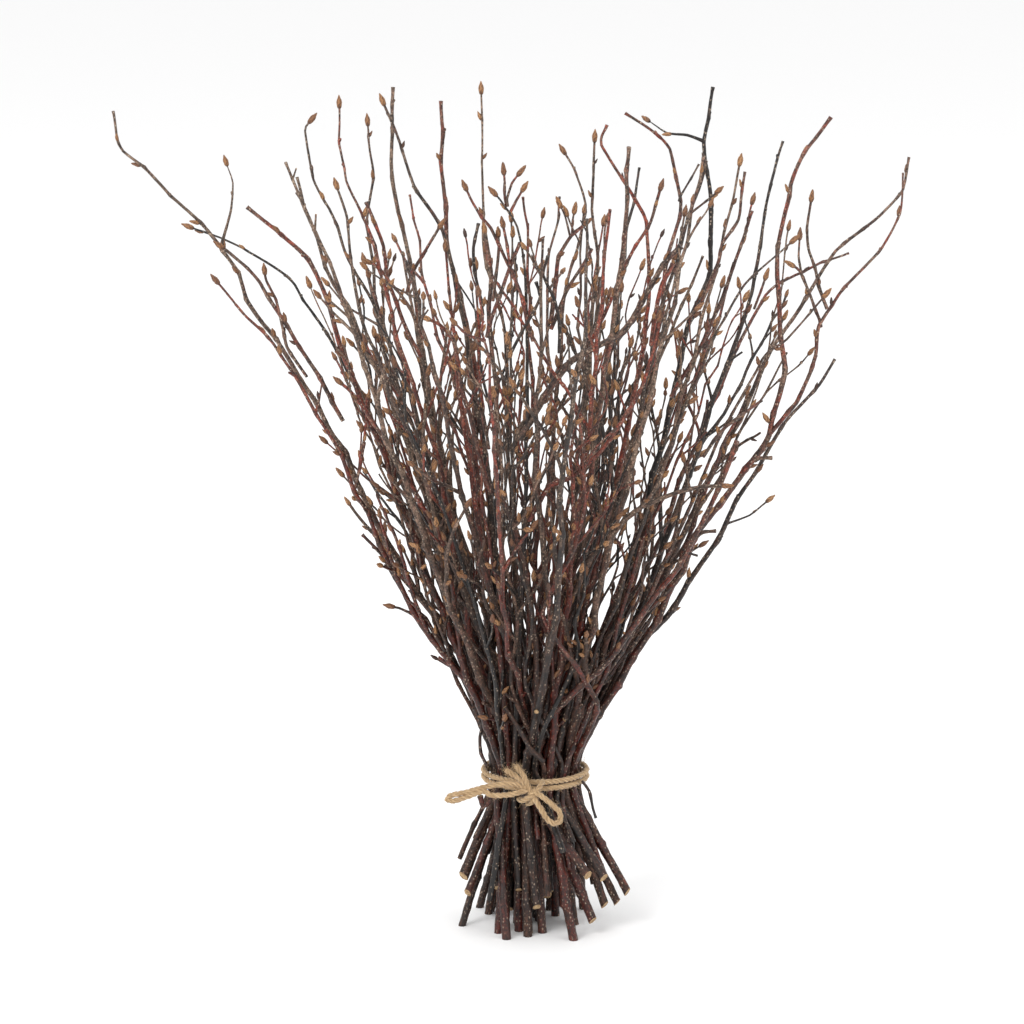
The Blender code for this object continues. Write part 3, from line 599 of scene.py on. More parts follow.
def side_shoots(twigs, room):
    """Shoots for every twig, each put where there is room for it."""
    rng = np.random.default_rng(8)
    shoots = {twig["number"]: [] for twig in twigs}
    for number, leaves_at, tip_depth, points in SEEN_SHOOTS:
        course = arm_from(twigs[number - 1], leaves_at, tip_depth, points)
        course, radii = with_bud(course, taper(course, 1.1 * MM))
        shoots[number].append((course, radii))
        room.add(course, radii, -1)
    for twig in twigs:
        count = 1 + int(rng.random() < 0.2)
        ceiling = FRONT_SHOOTS_BELOW if twig["number"] <= len(FRONT_TWIGS) else TALLEST
        for _ in range(count):
            for _ in range(14):
                place = rng.uniform(3.6, len(twig["course"]) - 1.4)
                long = rng.random() < 0.6
                length = rng.uniform(12, 34) * MM if long else 6 * MM
                course, radii = shoot_from(
                    twig["course"], twig["radii"], place, rng.uniform(0, 2 * math.pi),
                    rng.uniform(0.5, 0.85), length, rng.uniform(0.8, 1.05) * MM)
                if course[:, 2].max() < ceiling and room.is_free(course, radii, twig["number"]):
                    if twig["number"] not in BARE_TWIGS:
                        shoots[twig["number"]].append((course, radii))
                        room.add(course, radii, -1)
                    break
    return shoots


def arm_from(twig, leaves_at, tip_depth, points):
    """The course of a shoot or fork arm from its twig's middle line to its tip."""
    base = twig["course"][leaves_at]
    reach = points[-1][1] * MM - base[2]
    upper = []
    for across, up in points:
        share = min(max((up * MM - base[2]) / reach, 0.0), 1.0)
        depth = base[1] + (tip_depth * MM - base[1]) * share
        upper.append(seen_from_front(across * MM, up * MM, depth))
    return np.array([base] + upper)


def fork_arm(twig, leaves_at, tip_depth, end, points):
    """The second arm of a fork, from just clear of its twig to its tip."""
    course = arm_from(twig, leaves_at, tip_depth, points)
    wood = twig["radii"][leaves_at]
    radii = taper(course, wood * 0.85)
    onward = unit(twig["course"][leaves_at + 1] - twig["course"][leaves_at])
    first = course[1] - course[0]
    aside = unit(first - onward * (first @ onward))
    course[0] += aside * (wood + radii[0] + TOUCH_GAP)
    if end == "bud":
        course, radii = with_bud(course, radii)
    return course, radii


def twine_pieces():
    """The courses of the twine: two wraps, two loops of the bow and two short tails."""
    pitch = 2 * TWINE_RADIUS + WRAP_GAP
    wraps = []
    for level in (-0.5, 0.5):
        ring = []
        for step in range(WRAP_CORNERS):
            angle = 2 * math.pi * step / WRAP_CORNERS
            ring.append((WRAP_RADIUS * math.cos(angle), WRAP_RADIUS * math.sin(angle),
                         TIE_HEIGHT + level * pitch))
        wraps.append(np.array(ring))
    ends = {}
    for name, points in (("left_loop", LEFT_LOOP), ("right_loop", RIGHT_LOOP),
                         ("long_tail", LONG_TAIL), ("short_tail", SHORT_TAIL)):
        ends[name] = np.array([seen_from_front(x * MM, up * MM, y * MM) for x, up, y in points])
    return wraps, ends


def middle_of(room):
    """The middle, seen from above, of the box round all that stands in the room."""
    points = np.array(room.near + room.far)[:, :2]
    return (points.min(0) + points.max(0)) / 2


def extra_layout(twigs):
    """The thinner twigs that fill the gaps of the neck, each leaning the way its gap lies."""
    rng = np.random.default_rng(21)
    tries = rng.uniform(-1, 1, (6000, 2)) * (NECK_RADIUS - EXTRA_BUTT)
    tries = tries[np.linalg.norm(tries, axis=1) < NECK_RADIUS - EXTRA_BUTT]
    taken = [twig["course"][1:3, :2].mean(0) for twig in twigs]
    extras = []
    for number in range(EXTRA_TWIGS):
        gaps = np.min([np.linalg.norm(tries - place, axis=1) for place in taken], axis=0)
        slot = tries[int(np.argmax(gaps))]
        taken.append(slot)
        away = np.linalg.norm(slot)
        angle = math.atan2(slot[1], slot[0]) + rng.normal(0, 0.45)
        outward = np.array([math.cos(angle), math.sin(angle), 0.0])
        sideways = np.array([-outward[1], outward[0], 0.0])
        height = rng.uniform(205, 335) * MM
        heights, reaches = np.array(OUTLINE).T * MM
        widest = float(np.interp(height, heights, reaches)) * 0.95
        reach = 18 * MM + (widest - 18 * MM) * away / NECK_RADIUS * rng.uniform(0.75, 1.05)
        foot_height = rng.uniform(18, 52) * MM
        foot = slot * rng.uniform(1.3, 1.75)
        course = [np.array([foot[0], foot[1], foot_height]),
                  np.array([slot[0], slot[1], NECK_LOW]), np.array([slot[0], slot[1], NECK_HIGH])]
        bow = rng.uniform(0.9, 1.2)
        for share in (0.22, 0.42, 0.6, 0.78, 0.9, 1.0):
            far = away + (reach - away) * share ** bow
            sway = rng.uniform(-10, 10) * MM
            level = NECK_HIGH + (height - NECK_HIGH) * share
            course.append(outward * far + sideways * sway + np.array([0, 0, level]))
        extras.append({"course": np.array(course), "butt": EXTRA_BUTT * rng.uniform(0.75, 1.1),
                       "end": "bud" if rng.random() < 0.6 else "cut", "grounded": False,
                       "number": len(twigs) + 1 + number})
    return extras


def smooth_course(course, radii, step):
    """A course rounded through its own points and divided into short steps."""
    ahead = 2 * course[0] - course[1]
    beyond = 2 * course[-1] - course[-2]
    points = np.concatenate([[ahead], course, [beyond]])
    places, sizes = [], []
    for k in range(len(course) - 1):
        p0, p1, p2, p3 = points[k:k + 4]
        count = max(1, int(round(np.linalg.norm(p2 - p1) / step)))
        for t in np.arange(count) / count:
            bend = 0.5 * (2 * p1 + (p2 - p0) * t + (2 * p0 - 5 * p1 + 4 * p2 - p3) * t * t
                          + (3 * p1 - p0 - 3 * p2 + p3) * t ** 3)
            straight = p1 + (p2 - p1) * t
            places.append(bend * 0.55 + straight * 0.45)
            sizes.append(radii[k] * (1 - t) + radii[k + 1] * t)
    places.append(course[-1])
    sizes.append(radii[-1])
    return np.array(places), np.array(sizes)


def marks_along(places):
    """The distance of each point from the start."""
    steps = np.linalg.norm(np.diff(places, axis=0), axis=1)
    return np.concatenate([[0.0], np.cumsum(steps)])


class Growth:
    """Polylines and bud places of one piece, gathered before they get their thickness."""

    def __init__(self, axis):
        self.axis = axis
        self.places, self.edges, self.values, self.ways = [], [], [], []

    def stroke(self, places, radii, along, look, cut_start=False, cut_end=False):
        """A tube's middle line, with its look: redness and greyness. A cut end gets a second
        ring just inside it, for its rim."""
        cuts = np.zeros(len(places))
        if cut_end:
            inside = places[-1] + (places[-2] - places[-1]) * 0.08
            places = np.insert(places, -1, inside, axis=0)
            radii, along = (np.append(v, v[-1]) for v in (radii, along))
            radii[-1] *= 0.93
            cuts = np.append(cuts, 1.0)
        if cut_start:
            inside = places[0] + (places[1] - places[0]) * 0.08
            places = np.insert(places, 1, inside, axis=0)
            radii, along = (np.insert(v, 0, v[0]) for v in (radii, along))
            radii[0] *= 0.93
            cuts = np.insert(cuts, 0, 1.0)
        start = len(self.places)
        count = len(places)
        self.places += list(places)
        self.edges += [(start + k, start + k + 1) for k in range(count - 1)]
        self.values += list(zip(radii, along, [look[0]] * count, [look[1]] * count, cuts,
                                [0.0] * count))
        self.ways += [(0.0, 0.0, 1.0)] * count

    def bud(self, place, way, size, shade):
        """A bud that points along `way` from its place; a shade of 1 is a dark one."""
        self.places.append(place)
        self.values.append((0.0, 0.0, shade, 0.0, 0.0, size))
        self.ways.append(tuple(way))

    def mesh(self, name):
        """The gathered lines and bud places as a mesh whose points carry their look."""
        made = bpy.data.meshes.new(name)
        made.from_pydata([tuple(p) for p in self.places], self.edges, [])
        columns = np.array(self.values, dtype=np.float32)
        for k, title in enumerate(("thick", "along", "tone", "ash", "cut", "bud_size")):
            layer = made.attributes.new(title, "FLOAT", "POINT")
            layer.data.foreach_set("value", np.ascontiguousarray(columns[:, k]))
        layer = made.attributes.new("bud_way", "FLOAT_VECTOR", "POINT")
        layer.data.foreach_set("vector", np.array(self.ways, dtype=np.float32).ravel())
        return made


def any_side(along, angle):
    """A direction square to `along`, at this angle round it."""
    help_way = np.array([0.0, 0.0, 1.0]) if abs(along[2]) < 0.9 else np.array([1.0, 0.0, 0.0])
    first = unit(np.cross(along, help_way))
    return first * math.cos(angle) + np.cross(along, first) * math.sin(angle)


def in_outline(growth, places):
    """Which of the points are no further out than the bundle's own outline at their height."""
    away = np.linalg.norm(places[:, :2] - growth.axis[:2], axis=1)
    heights, reaches = np.array(OUTLINE).T * MM
    return away < np.interp(places[:, 2], heights, reaches)


def inside_box(places):
    """Whether all of it stays inside the box of the solids."""
    return bool(np.all(places > cad_low + 1 * MM) and np.all(places < cad_high - 1 * MM))


def knotted(radii, along, nodes, rng):
    """Radii with a small swelling at every node, and slightly uneven between them."""
    result = radii * (1 + 0.04 * np.sin(along / (7 * MM) + rng.uniform(0, 6)))
    for node in nodes:
        swell = NODE_SWELL * rng.uniform(0.5, 1.3)
        result *= 1 + swell * np.exp(-((along - node) / (1.5 * MM)) ** 2)
    return result


def kinked(places, along, nodes, amount, rng):
    """A middle line bent a little one way and the other at its nodes."""
    ahead = unit(places[-1] - places[0])
    bearing = rng.uniform(0, 2 * math.pi)
    offsets = [np.zeros(3)]
    for k in range(len(nodes)):
        turn = bearing + math.pi * (k % 2) + rng.normal(0, 0.6)
        offsets.append(any_side(ahead, turn) * rng.uniform(0.3, 1.35) * KINK)
    offsets = np.array(offsets + [np.zeros(3)])
    stops = np.concatenate([[0.0], nodes, [along[-1]]])
    bends = np.stack([np.interp(along, stops, offsets[:, axis]) for axis in range(3)], axis=1)
    return places + bends * np.reshape(amount, (-1, 1))


def node_places(total, first, shortest, longest, rng):
    """Distances of the nodes from the start of a stem."""
    nodes, at = [], first
    while at < total - 5 * MM:
        nodes.append(at)
        at += rng.uniform(shortest, longest)
    return np.array(nodes)


def add_bud(growth, place, way, size, rng):
    """A bud, if there is room for it in the box; about one in six has stayed dark and shut."""
    if inside_box(np.array([place, place + way * BUD_LENGTH])):
        dark = rng.random() < 0.16
        shade = rng.uniform(0.7, 1.0) if dark else rng.uniform(0.0, 0.45)
        growth.bud(place, way, size * SLIM_BUD * (0.75 if dark else 1.0), shade)


def add_knob(growth, place, way, radius, look, rng):
    """The scar of a shed bud or leaf: a tiny blunt stub."""
    reach = radius + rng.uniform(0.5, 1.3) * MM
    growth.stroke(np.array([place, place + way * reach * 0.7, place + way * reach]),
                  np.array([0.8, 0.72, 0.45]) * rng.uniform(0.85, 1.2) * MM,
                  np.array([0.0, reach * 0.7, reach]) + rng.uniform(0, 9), look)


def grow_stub(growth, base, way, radius, look, rng):
    """A shoot that was cut or broken off short; half of the ends show pale wood."""
    length = rng.uniform(2.5, 9) * MM
    places = np.array([base, base + way * (radius + length * 0.5), base + way * (radius + length)])
    growth.stroke(places, np.array([1.3, 1.0, 0.95]) * radius * rng.uniform(0.4, 0.62),
                  np.array([0.0, length * 0.5, length]) + rng.uniform(0, 9), look,
                  cut_end=rng.random() < 0.5)


def grow_shoot(growth, base, way, length, radius, look, rng, order=1):
    """A side shoot: slightly zigzag, curving up, with buds along it and mostly one at its tip."""
    count = max(3, int(length / (4 * MM)))
    places = [base]
    heading = way.copy()
    for _ in range(count):
        drift = any_side(heading, rng.uniform(0, 2 * math.pi)) * rng.uniform(0.0, 0.16)
        heading = unit(heading + drift + np.array([0, 0, 0.03]))
        places.append(places[-1] + heading * length / count)
    places = np.array(places)
    inside = in_outline(growth, places)
    if not inside.all():
        places = places[:int(np.argmin(inside))]
    if len(places) < 3 or not inside_box(places + heading * 7 * MM):
        side = unit(way + np.array([0, 0, 0.6]))
        add_bud(growth, base + way * radius * 0.7, side, rng.uniform(0.6, 0.95), rng)
        return
    length *= (len(places) - 1) / count
    along = np.linspace(0, length, len(places))
    radii = np.maximum(radius * (1 - 0.38 * along / length), 0.42 * MM)
    nodes = node_places(length, rng.uniform(5, 12) * MM, 8 * MM, 17 * MM, rng)
    fine, sizes = smooth_course(places, radii, 2.1 * MM)
    marks = marks_along(fine)
    fine = kinked(fine, marks, nodes, 0.55, rng)
    sizes = knotted(sizes, marks, nodes, rng) * (1 + 0.4 * np.exp(-marks / (1.3 * MM)))
    growth.stroke(fine, sizes, marks + rng.uniform(0, 9), look)
    heading = unit(fine[-1] - fine[-2])
    if rng.random() < 0.8:
        add_bud(growth, fine[-1] - heading * 0.5 * MM, heading, rng.uniform(0.8, 1.1), rng)
    dress_nodes(growth, fine, sizes, marks, nodes, look, rng, order)


def dress_nodes(growth, fine, sizes, marks, nodes, look, rng, order):
    """Buds, scars and finer shoots at the nodes of a shoot."""
    spin = rng.uniform(0, 2 * math.pi)
    for place in nodes:
        k = min(max(int(np.searchsorted(marks, place)), 1), len(fine) - 2)
        ahead = unit(fine[k + 1] - fine[k])
        spin += math.pi * 0.86 + rng.uniform(-0.3, 0.3)
        side = any_side(ahead, spin)
        lean = rng.uniform(0.28, 0.7)
        out = unit(ahead * math.cos(lean) + side * math.sin(lean))
        draw = rng.random()
        if order == 1 and marks[-1] > 30 * MM and draw < 0.26:
            grow_shoot(growth, fine[k], out, rng.uniform(5, 20) * MM, sizes[k] * 0.7, look, rng,
                       order=2)
        elif draw < 0.74:
            add_bud(growth, fine[k] + side * sizes[k] * 0.5, out, rng.uniform(0.6, 0.95), rng)
        else:
            add_knob(growth, fine[k], out, sizes[k], look, rng)


def grow_twig(growth, twig, shoots, rng, look, fullness):
    """One whole twig: its stem with swollen nodes, its own shoots, and finer shoots and buds."""
    places, radii = smooth_course(twig["course"], twig["radii"], 1.9 * MM)
    along = marks_along(places)
    total = along[-1]
    nodes = node_places(total, rng.uniform(14, 30) * MM, 11 * MM, 27 * MM, rng)
    amount = np.interp(places[:, 2], np.array([0, 15, 50, 66, 90, 130]) * MM,
                       [0, 0.4, 0.4, 0.0, 0.0, 1.0])
    amount = amount * np.clip((total - along) / (15 * MM), 0, 1)
    places = kinked(places, along, nodes, amount, rng)
    tip = [0.97, 1.15] if twig["number"] in THICK_TIPS else [0.84, 0.8]
    slim = np.interp(along / total, [0.0, 0.2, 0.6, 1.0], [0.93, 0.96] + tip)
    sizes = knotted(radii * slim, along, nodes, rng)
    if twig["end"] == "cut":
        sizes *= 1 + 0.3 * np.exp(-((total - along) / (1.6 * MM)) ** 2)
    if twig["grounded"]:
        places[0] += unit(places[0] - places[1]) * 2.5 * MM
    growth.stroke(places, sizes, along + twig["number"] * 0.83, look,
                  cut_start=twig["grounded"] or twig["number"] % 4 == 0)
    ahead = unit(places[-1] - places[-2])
    if twig["end"] == "bud":
        growth.bud(places[-1] - ahead * 0.5 * MM, ahead, 1.0, rng.uniform(0.0, 0.4))
    for course, thin in shoots:
        grow_own_shoot(growth, places, course, thin, rng, look)
    dress_stem(growth, places, radii, sizes, along, nodes, rng, look, fullness)


def grow_own_shoot(growth, stem, course, thin, rng, look):
    """A shoot that the solid has too, slimmer and rounded, from the stem's bent middle line."""
    own = course[:-2]
    nearest = int(np.argmin(np.linalg.norm(stem - own[0], axis=1)))
    own = own + np.linspace(1, 0, len(own))[:, None] * (stem[nearest] - own[0])
    fine, slim = smooth_course(own, np.array(thin[:-2]) * 0.75, 2.1 * MM)
    marks = marks_along(fine)
    slim = slim * (1 + 0.4 * np.exp(-marks / (1.5 * MM)))
    growth.stroke(fine, slim, marks + rng.uniform(0, 9), look)
    ahead = unit(course[-1] - course[-2])
    growth.bud(fine[-1] - ahead * 0.4 * MM, ahead, 0.93, rng.uniform(0.0, 0.4))
    if marks[-1] > 14 * MM:
        dress_nodes(growth, fine, slim, marks, [marks[-1] * rng.uniform(0.4, 0.7)], look, rng, 2)


def dress_stem(growth, places, radii, sizes, along, nodes, rng, look, fullness):
    """What grows at a stem's nodes: scars low down, then stubs, shoots and buds by height."""
    spin = rng.uniform(0, 2 * math.pi)
    for place in nodes:
        k = min(max(int(np.searchsorted(along, place)), 1), len(places) - 2)
        spin += math.pi * 0.86 + rng.uniform(-0.4, 0.4)
        ahead = unit(places[k + 1] - places[k])
        side = any_side(ahead, spin)
        lean = rng.uniform(0.28, 0.65)
        out = unit(ahead * math.cos(lean) + side * math.sin(lean))
        height = places[k][2]
        sparse = 0.42 - 0.32 if fullness > 0.9 else 0.42
        draw = rng.random() if height < SPARSE_ABOVE else rng.uniform(sparse, 1.1)
        if height < SCARS_UP_TO:
            if 12 * MM < height and draw < 0.3 * fullness:
                add_knob(growth, places[k], side, sizes[k], look, rng)
        elif height < BARE_UP_TO:
            continue
        elif height < STUBS_UP_TO:
            if draw < 0.3 * fullness:
                grow_shoot(growth, places[k], out, rng.uniform(25, 95) * MM,
                           min(radii[k] * 0.6, 1.15 * MM), look, rng)
            elif draw < 0.55:
                grow_stub(growth, places[k], out, radii[k], look, rng)
        elif height < LONG_SHOOTS_UP_TO and draw < 0.3 * fullness:
            grow_shoot(growth, places[k], out, rng.uniform(25, 110) * MM,
                       min(radii[k] * 0.62, 1.15 * MM), look, rng)
        elif draw < (0.4 if height < LONG_SHOOTS_UP_TO else 0.2) * fullness:
            grow_shoot(growth, places[k], out, rng.uniform(9, 36) * MM,
                       min(radii[k] * 0.62, 0.85 * MM), look, rng)
        elif draw < 0.5 * fullness:
            grow_stub(growth, places[k], out, radii[k], look, rng)
        elif draw < 0.78:
            add_bud(growth, places[k] + side * radii[k] * 0.7, out, rng.uniform(0.6, 0.95), rng)
        else:
            add_knob(growth, places[k], out, sizes[k], look, rng)


def grow_seen(growth, seen, offset, rng):
    """One of the twigs that show in front of the others."""
    first_depth, last_depth, first_radius, last_radius, tone, ash, end, fullness, points = seen
    rises = np.linspace(0, 1, len(points))
    course = np.array([
        seen_from_front(across * MM, up * MM, (first_depth + (last_depth - first_depth) * t) * MM)
        for (across, up), t in zip(points, rises)]) + offset
    radii = np.linspace(first_radius, last_radius, len(points)) * MM
    fine, sizes = smooth_course(course, radii, 1.9 * MM)
    marks = marks_along(fine)
    nodes = node_places(marks[-1], rng.uniform(6, 14) * MM, 9 * MM, 20 * MM, rng)
    fine = kinked(fine, marks, nodes, 0.35, rng)
    sizes = knotted(sizes, marks, nodes, rng)
    if end == "cut":
        sizes *= 1 + 0.35 * np.exp(-((marks[-1] - marks) / (1.4 * MM)) ** 2)
    look = (tone, ash)
    growth.stroke(fine, sizes, marks + rng.uniform(0, 9), look, cut_start=first_radius > 1.15,
                  cut_end=end == "cut" and first_radius > 1.15 and marks[-1] < 60 * MM)
    if end == "bud":
        ahead = unit(fine[-1] - fine[-2])
        growth.bud(fine[-1] - ahead * 0.4 * MM, ahead, 0.98, rng.uniform(0.0, 0.4))
    kept = [place for place in nodes if rng.random() < fullness]
    dress_nodes(growth, fine, sizes, marks, kept, look, rng, 2)


def twisted(growth, course, radius, rng, closed=False):
    """Three plies twisted round a rounded course, and the course itself in fine steps."""
    if closed:
        course = np.concatenate([course, course[:1]])
        fine = smooth_course(np.concatenate([course[-3:-1], course, course[1:3]]),
                             np.ones(len(course) + 4), 0.9 * MM)[0]
        first = int(np.argmin(np.linalg.norm(fine[:len(fine) // 2] - course[0], axis=1)))
        last = len(fine) // 2 + int(np.argmin(np.linalg.norm(fine[len(fine) // 2:] - course[0],
                                                             axis=1)))
        fine = fine[first:last + 1]
    else:
        fine = smooth_course(course, np.ones(len(course)), 0.9 * MM)[0]
    ahead = unit(np.gradient(fine, axis=0))
    along = marks_along(fine)
    turns = along / TWINE_LAY
    if closed:
        turns = turns / turns[-1] * round(turns[-1])
    side = any_side(ahead[0], 0.0)
    sides = []
    for way in ahead:
        side = unit(side - way * (side @ way))
        sides.append(side)
    sides = np.array(sides)
    across = np.cross(ahead, sides)
    for ply in range(3):
        angle = (2 * math.pi * (turns + ply / 3))[:, None]
        places = fine + (sides * np.cos(angle) + across * np.sin(angle)) * radius * 0.52
        uneven = 1 + 0.05 * np.sin(along / (2.3 * MM) + ply * 2.1 + rng.uniform(0, 6))
        growth.stroke(places, radius * 0.5 * uneven, along + rng.uniform(0, 9), (0.0, 0.0))
    return fine, ahead


def fuzz(growth, fine, ahead, radius, per_metre, rng):
    """Loose fibres that stand off a strand, each a short bent hair."""
    for _ in range(int(marks_along(fine)[-1] * per_metre)):
        k = int(rng.integers(1, len(fine) - 1))
        out = any_side(ahead[k], rng.uniform(0, 2 * math.pi))
        way = unit(out * rng.uniform(0.4, 1.0) + ahead[k] * rng.choice([-1, 1]) * rng.uniform(0.3, 1))
        hair(growth, fine[k] + out * radius * 0.8, way, rng.uniform(1.2, 4.2) * MM, rng)


def hair(growth, base, way, length, rng):
    """One fibre of three bent stretches."""
    places = [base]
    for _ in range(3):
        way = unit(way + rng.normal(0, 0.28, 3))
        places.append(places[-1] + way * length / 3)
    growth.stroke(np.array(places), np.array([1.0, 0.9, 0.75, 0.4]) * FIBRE_RADIUS,
                  np.linspace(0, length, 4) + rng.uniform(0, 9), (0.0, 0.0))


def twine(offset, rng):
    """The twine: twisted plies along its wraps, knot, loops and tails, and its loose fibres."""
    wraps, ends = twine_pieces()
    strands, fibres = Growth(offset), Growth(offset)
    for ring in wraps:
        fine, ahead = twisted(strands, ring + offset, TWINE_RADIUS, rng, closed=True)
        fuzz(fibres, fine, ahead, TWINE_RADIUS, TURN_FIBRES, rng)
    courses = list(ends.values()) + [np.array(points) * MM for points in KNOT_STRANDS]
    for course in courses:
        fine, ahead = twisted(strands, course + offset, TWINE_RADIUS, rng)
        fuzz(fibres, fine, ahead, TWINE_RADIUS, END_FIBRES, rng)
    for name in ("long_tail", "short_tail"):
        course = ends[name] + offset
        way = unit(course[-1] - course[-2])
        for _ in range(TIP_FIBRES):
            back = rng.uniform(1, 7) * MM
            start = course[-1] - way * back + rng.normal(0, 0.75, 3) * MM
            hair(fibres, start, unit(way + rng.normal(0, 0.3, 3)), rng.uniform(2, 4.5) * MM, rng)
    return strands, fibres


def pick(sockets, name):
    """The enabled socket of this name."""
    return next(s for s in sockets if s.name == name and s.enabled)


def node(tree, kind, inputs=None, **settings):
    """Adds a node with its settings, and links or sets its inputs by name."""
    made = tree.nodes.new(kind)
    for name, value in settings.items():
        setattr(made, name, value)
    for name, value in (inputs or {}).items():
        socket = made.inputs[name] if isinstance(name, int) else pick(made.inputs, name)
        if isinstance(value, bpy.types.Node):
            value = next(s for s in value.outputs if s.enabled)
        if isinstance(value, bpy.types.NodeSocket):
            tree.links.new(value, socket)
        else:
            socket.default_value = value
    return made


def tree_with(name, inputs):
    """A Geometry Nodes tree with a geometry input, these named inputs and its output."""
    tree = bpy.data.node_groups.new(name, "GeometryNodeTree")
    tree.interface.new_socket("Geometry", in_out="INPUT", socket_type="NodeSocketGeometry")
    for title, kind in inputs:
        tree.interface.new_socket(title, in_out="INPUT", socket_type=kind)
    tree.interface.new_socket("Geometry", in_out="OUTPUT", socket_type="NodeSocketGeometry")
    return tree, tree.nodes.new("NodeGroupInput"), tree.nodes.new("NodeGroupOutput")


def twig_tree():
    """Gives the gathered middle lines their thickness and relief, and puts buds in place."""
    tree, given, result = tree_with("Twig", [
        ("Sides", "NodeSocketInt"), ("Relief", "NodeSocketFloat"), ("Bud", "NodeSocketObject"),
        ("Bark", "NodeSocketMaterial"), ("Cut wood", "NodeSocketMaterial"),
        ("Bud scales", "NodeSocketMaterial")])

    def named(title, kind="FLOAT"):
        return node(tree, "GeometryNodeInputNamedAttribute", {"Name": title}, data_type=kind)

    rail = node(tree, "GeometryNodeMeshToCurve", {"Mesh": given.outputs["Geometry"]})
    circle = node(tree, "GeometryNodeCurvePrimitiveCircle",
                  {"Resolution": given.outputs["Sides"], "Radius": 1.0})
    ring = node(tree, "GeometryNodeStoreNamedAttribute",
                {"Geometry": circle, "Name": "ring", "Value": node(tree, "GeometryNodeInputPosition")},
                data_type="FLOAT_VECTOR")
    tube = node(tree, "GeometryNodeCurveToMesh",
                {"Curve": rail, "Profile Curve": ring, "Scale": named("thick"), "Fill Caps": True})
    wide = node(tree, "ShaderNodeVectorMath",
                {0: named("ring", "FLOAT_VECTOR"), "Scale": named("thick")}, operation="SCALE")
    split = node(tree, "ShaderNodeSeparateXYZ", {"Vector": wide})
    skin = node(tree, "ShaderNodeCombineXYZ",
                {"X": split.outputs["X"], "Y": split.outputs["Y"], "Z": named("along")})
    marked = node(tree, "GeometryNodeStoreNamedAttribute",
                  {"Geometry": tube, "Name": "skin", "Value": skin}, data_type="FLOAT_VECTOR")
    rough = node(tree, "ShaderNodeTexNoise",
                 {"Vector": named("skin", "FLOAT_VECTOR"), "Scale": 1 / (3.2 * MM), "Detail": 4.0})
    lift = node(tree, "ShaderNodeMath", {0: rough, 1: 0.5}, operation="SUBTRACT")
    deep = node(tree, "ShaderNodeMath", {0: lift, 1: given.outputs["Relief"]}, operation="MULTIPLY")
    grown = node(tree, "ShaderNodeMath", {0: deep, 1: named("thick")}, operation="MULTIPLY")
    offset = node(tree, "ShaderNodeVectorMath",
                  {0: node(tree, "GeometryNodeInputNormal"), "Scale": grown}, operation="SCALE")
    shaped = node(tree, "GeometryNodeSetPosition", {"Geometry": marked, "Offset": offset})
    barked = node(tree, "GeometryNodeSetMaterial",
                  {"Geometry": shaped, "Material": given.outputs["Bark"]})
    capped = node(tree, "FunctionNodeCompare", {"A": named("cut"), "B": 0.75},
                  data_type="FLOAT", operation="GREATER_THAN")
    cut = node(tree, "GeometryNodeSetMaterial",
               {"Geometry": barked, "Selection": capped, "Material": given.outputs["Cut wood"]})

    budding = node(tree, "FunctionNodeCompare", {"A": named("bud_size"), "B": 0.01},
                   data_type="FLOAT", operation="GREATER_THAN")
    places = node(tree, "GeometryNodeSeparateGeometry",
                  {"Geometry": given.outputs["Geometry"], "Selection": budding})
    bud = node(tree, "GeometryNodeObjectInfo", {"Object": given.outputs["Bud"]})
    turned = node(tree, "FunctionNodeAlignRotationToVector",
                  {"Vector": named("bud_way", "FLOAT_VECTOR")}, axis="Z")
    spin = node(tree, "FunctionNodeRandomValue", {"Max": 2 * math.pi, "Seed": 4},
                data_type="FLOAT")
    about = node(tree, "FunctionNodeAxisAngleToRotation", {"Angle": spin})
    rolled = node(tree, "FunctionNodeRotateRotation", {"Rotation": turned, "Rotate By": about},
                  rotation_space="LOCAL")
    sized = node(tree, "ShaderNodeVectorMath",
                 {0: (1.0, 1.0, 1.0), "Scale": named("bud_size")}, operation="SCALE")
    buds = node(tree, "GeometryNodeInstanceOnPoints",
                {"Points": places, "Instance": pick(bud.outputs, "Geometry"), "Rotation": rolled,
                 "Scale": sized})
    real = node(tree, "GeometryNodeRealizeInstances", {"Geometry": buds})
    scaled = node(tree, "GeometryNodeSetMaterial",
                  {"Geometry": real, "Material": given.outputs["Bud scales"]})
    both = node(tree, "GeometryNodeJoinGeometry")
    tree.links.new(cut.outputs["Geometry"], both.inputs["Geometry"])
    tree.links.new(scaled.outputs["Geometry"], both.inputs["Geometry"])
    tree.links.new(both.outputs["Geometry"], result.inputs["Geometry"])
    return tree


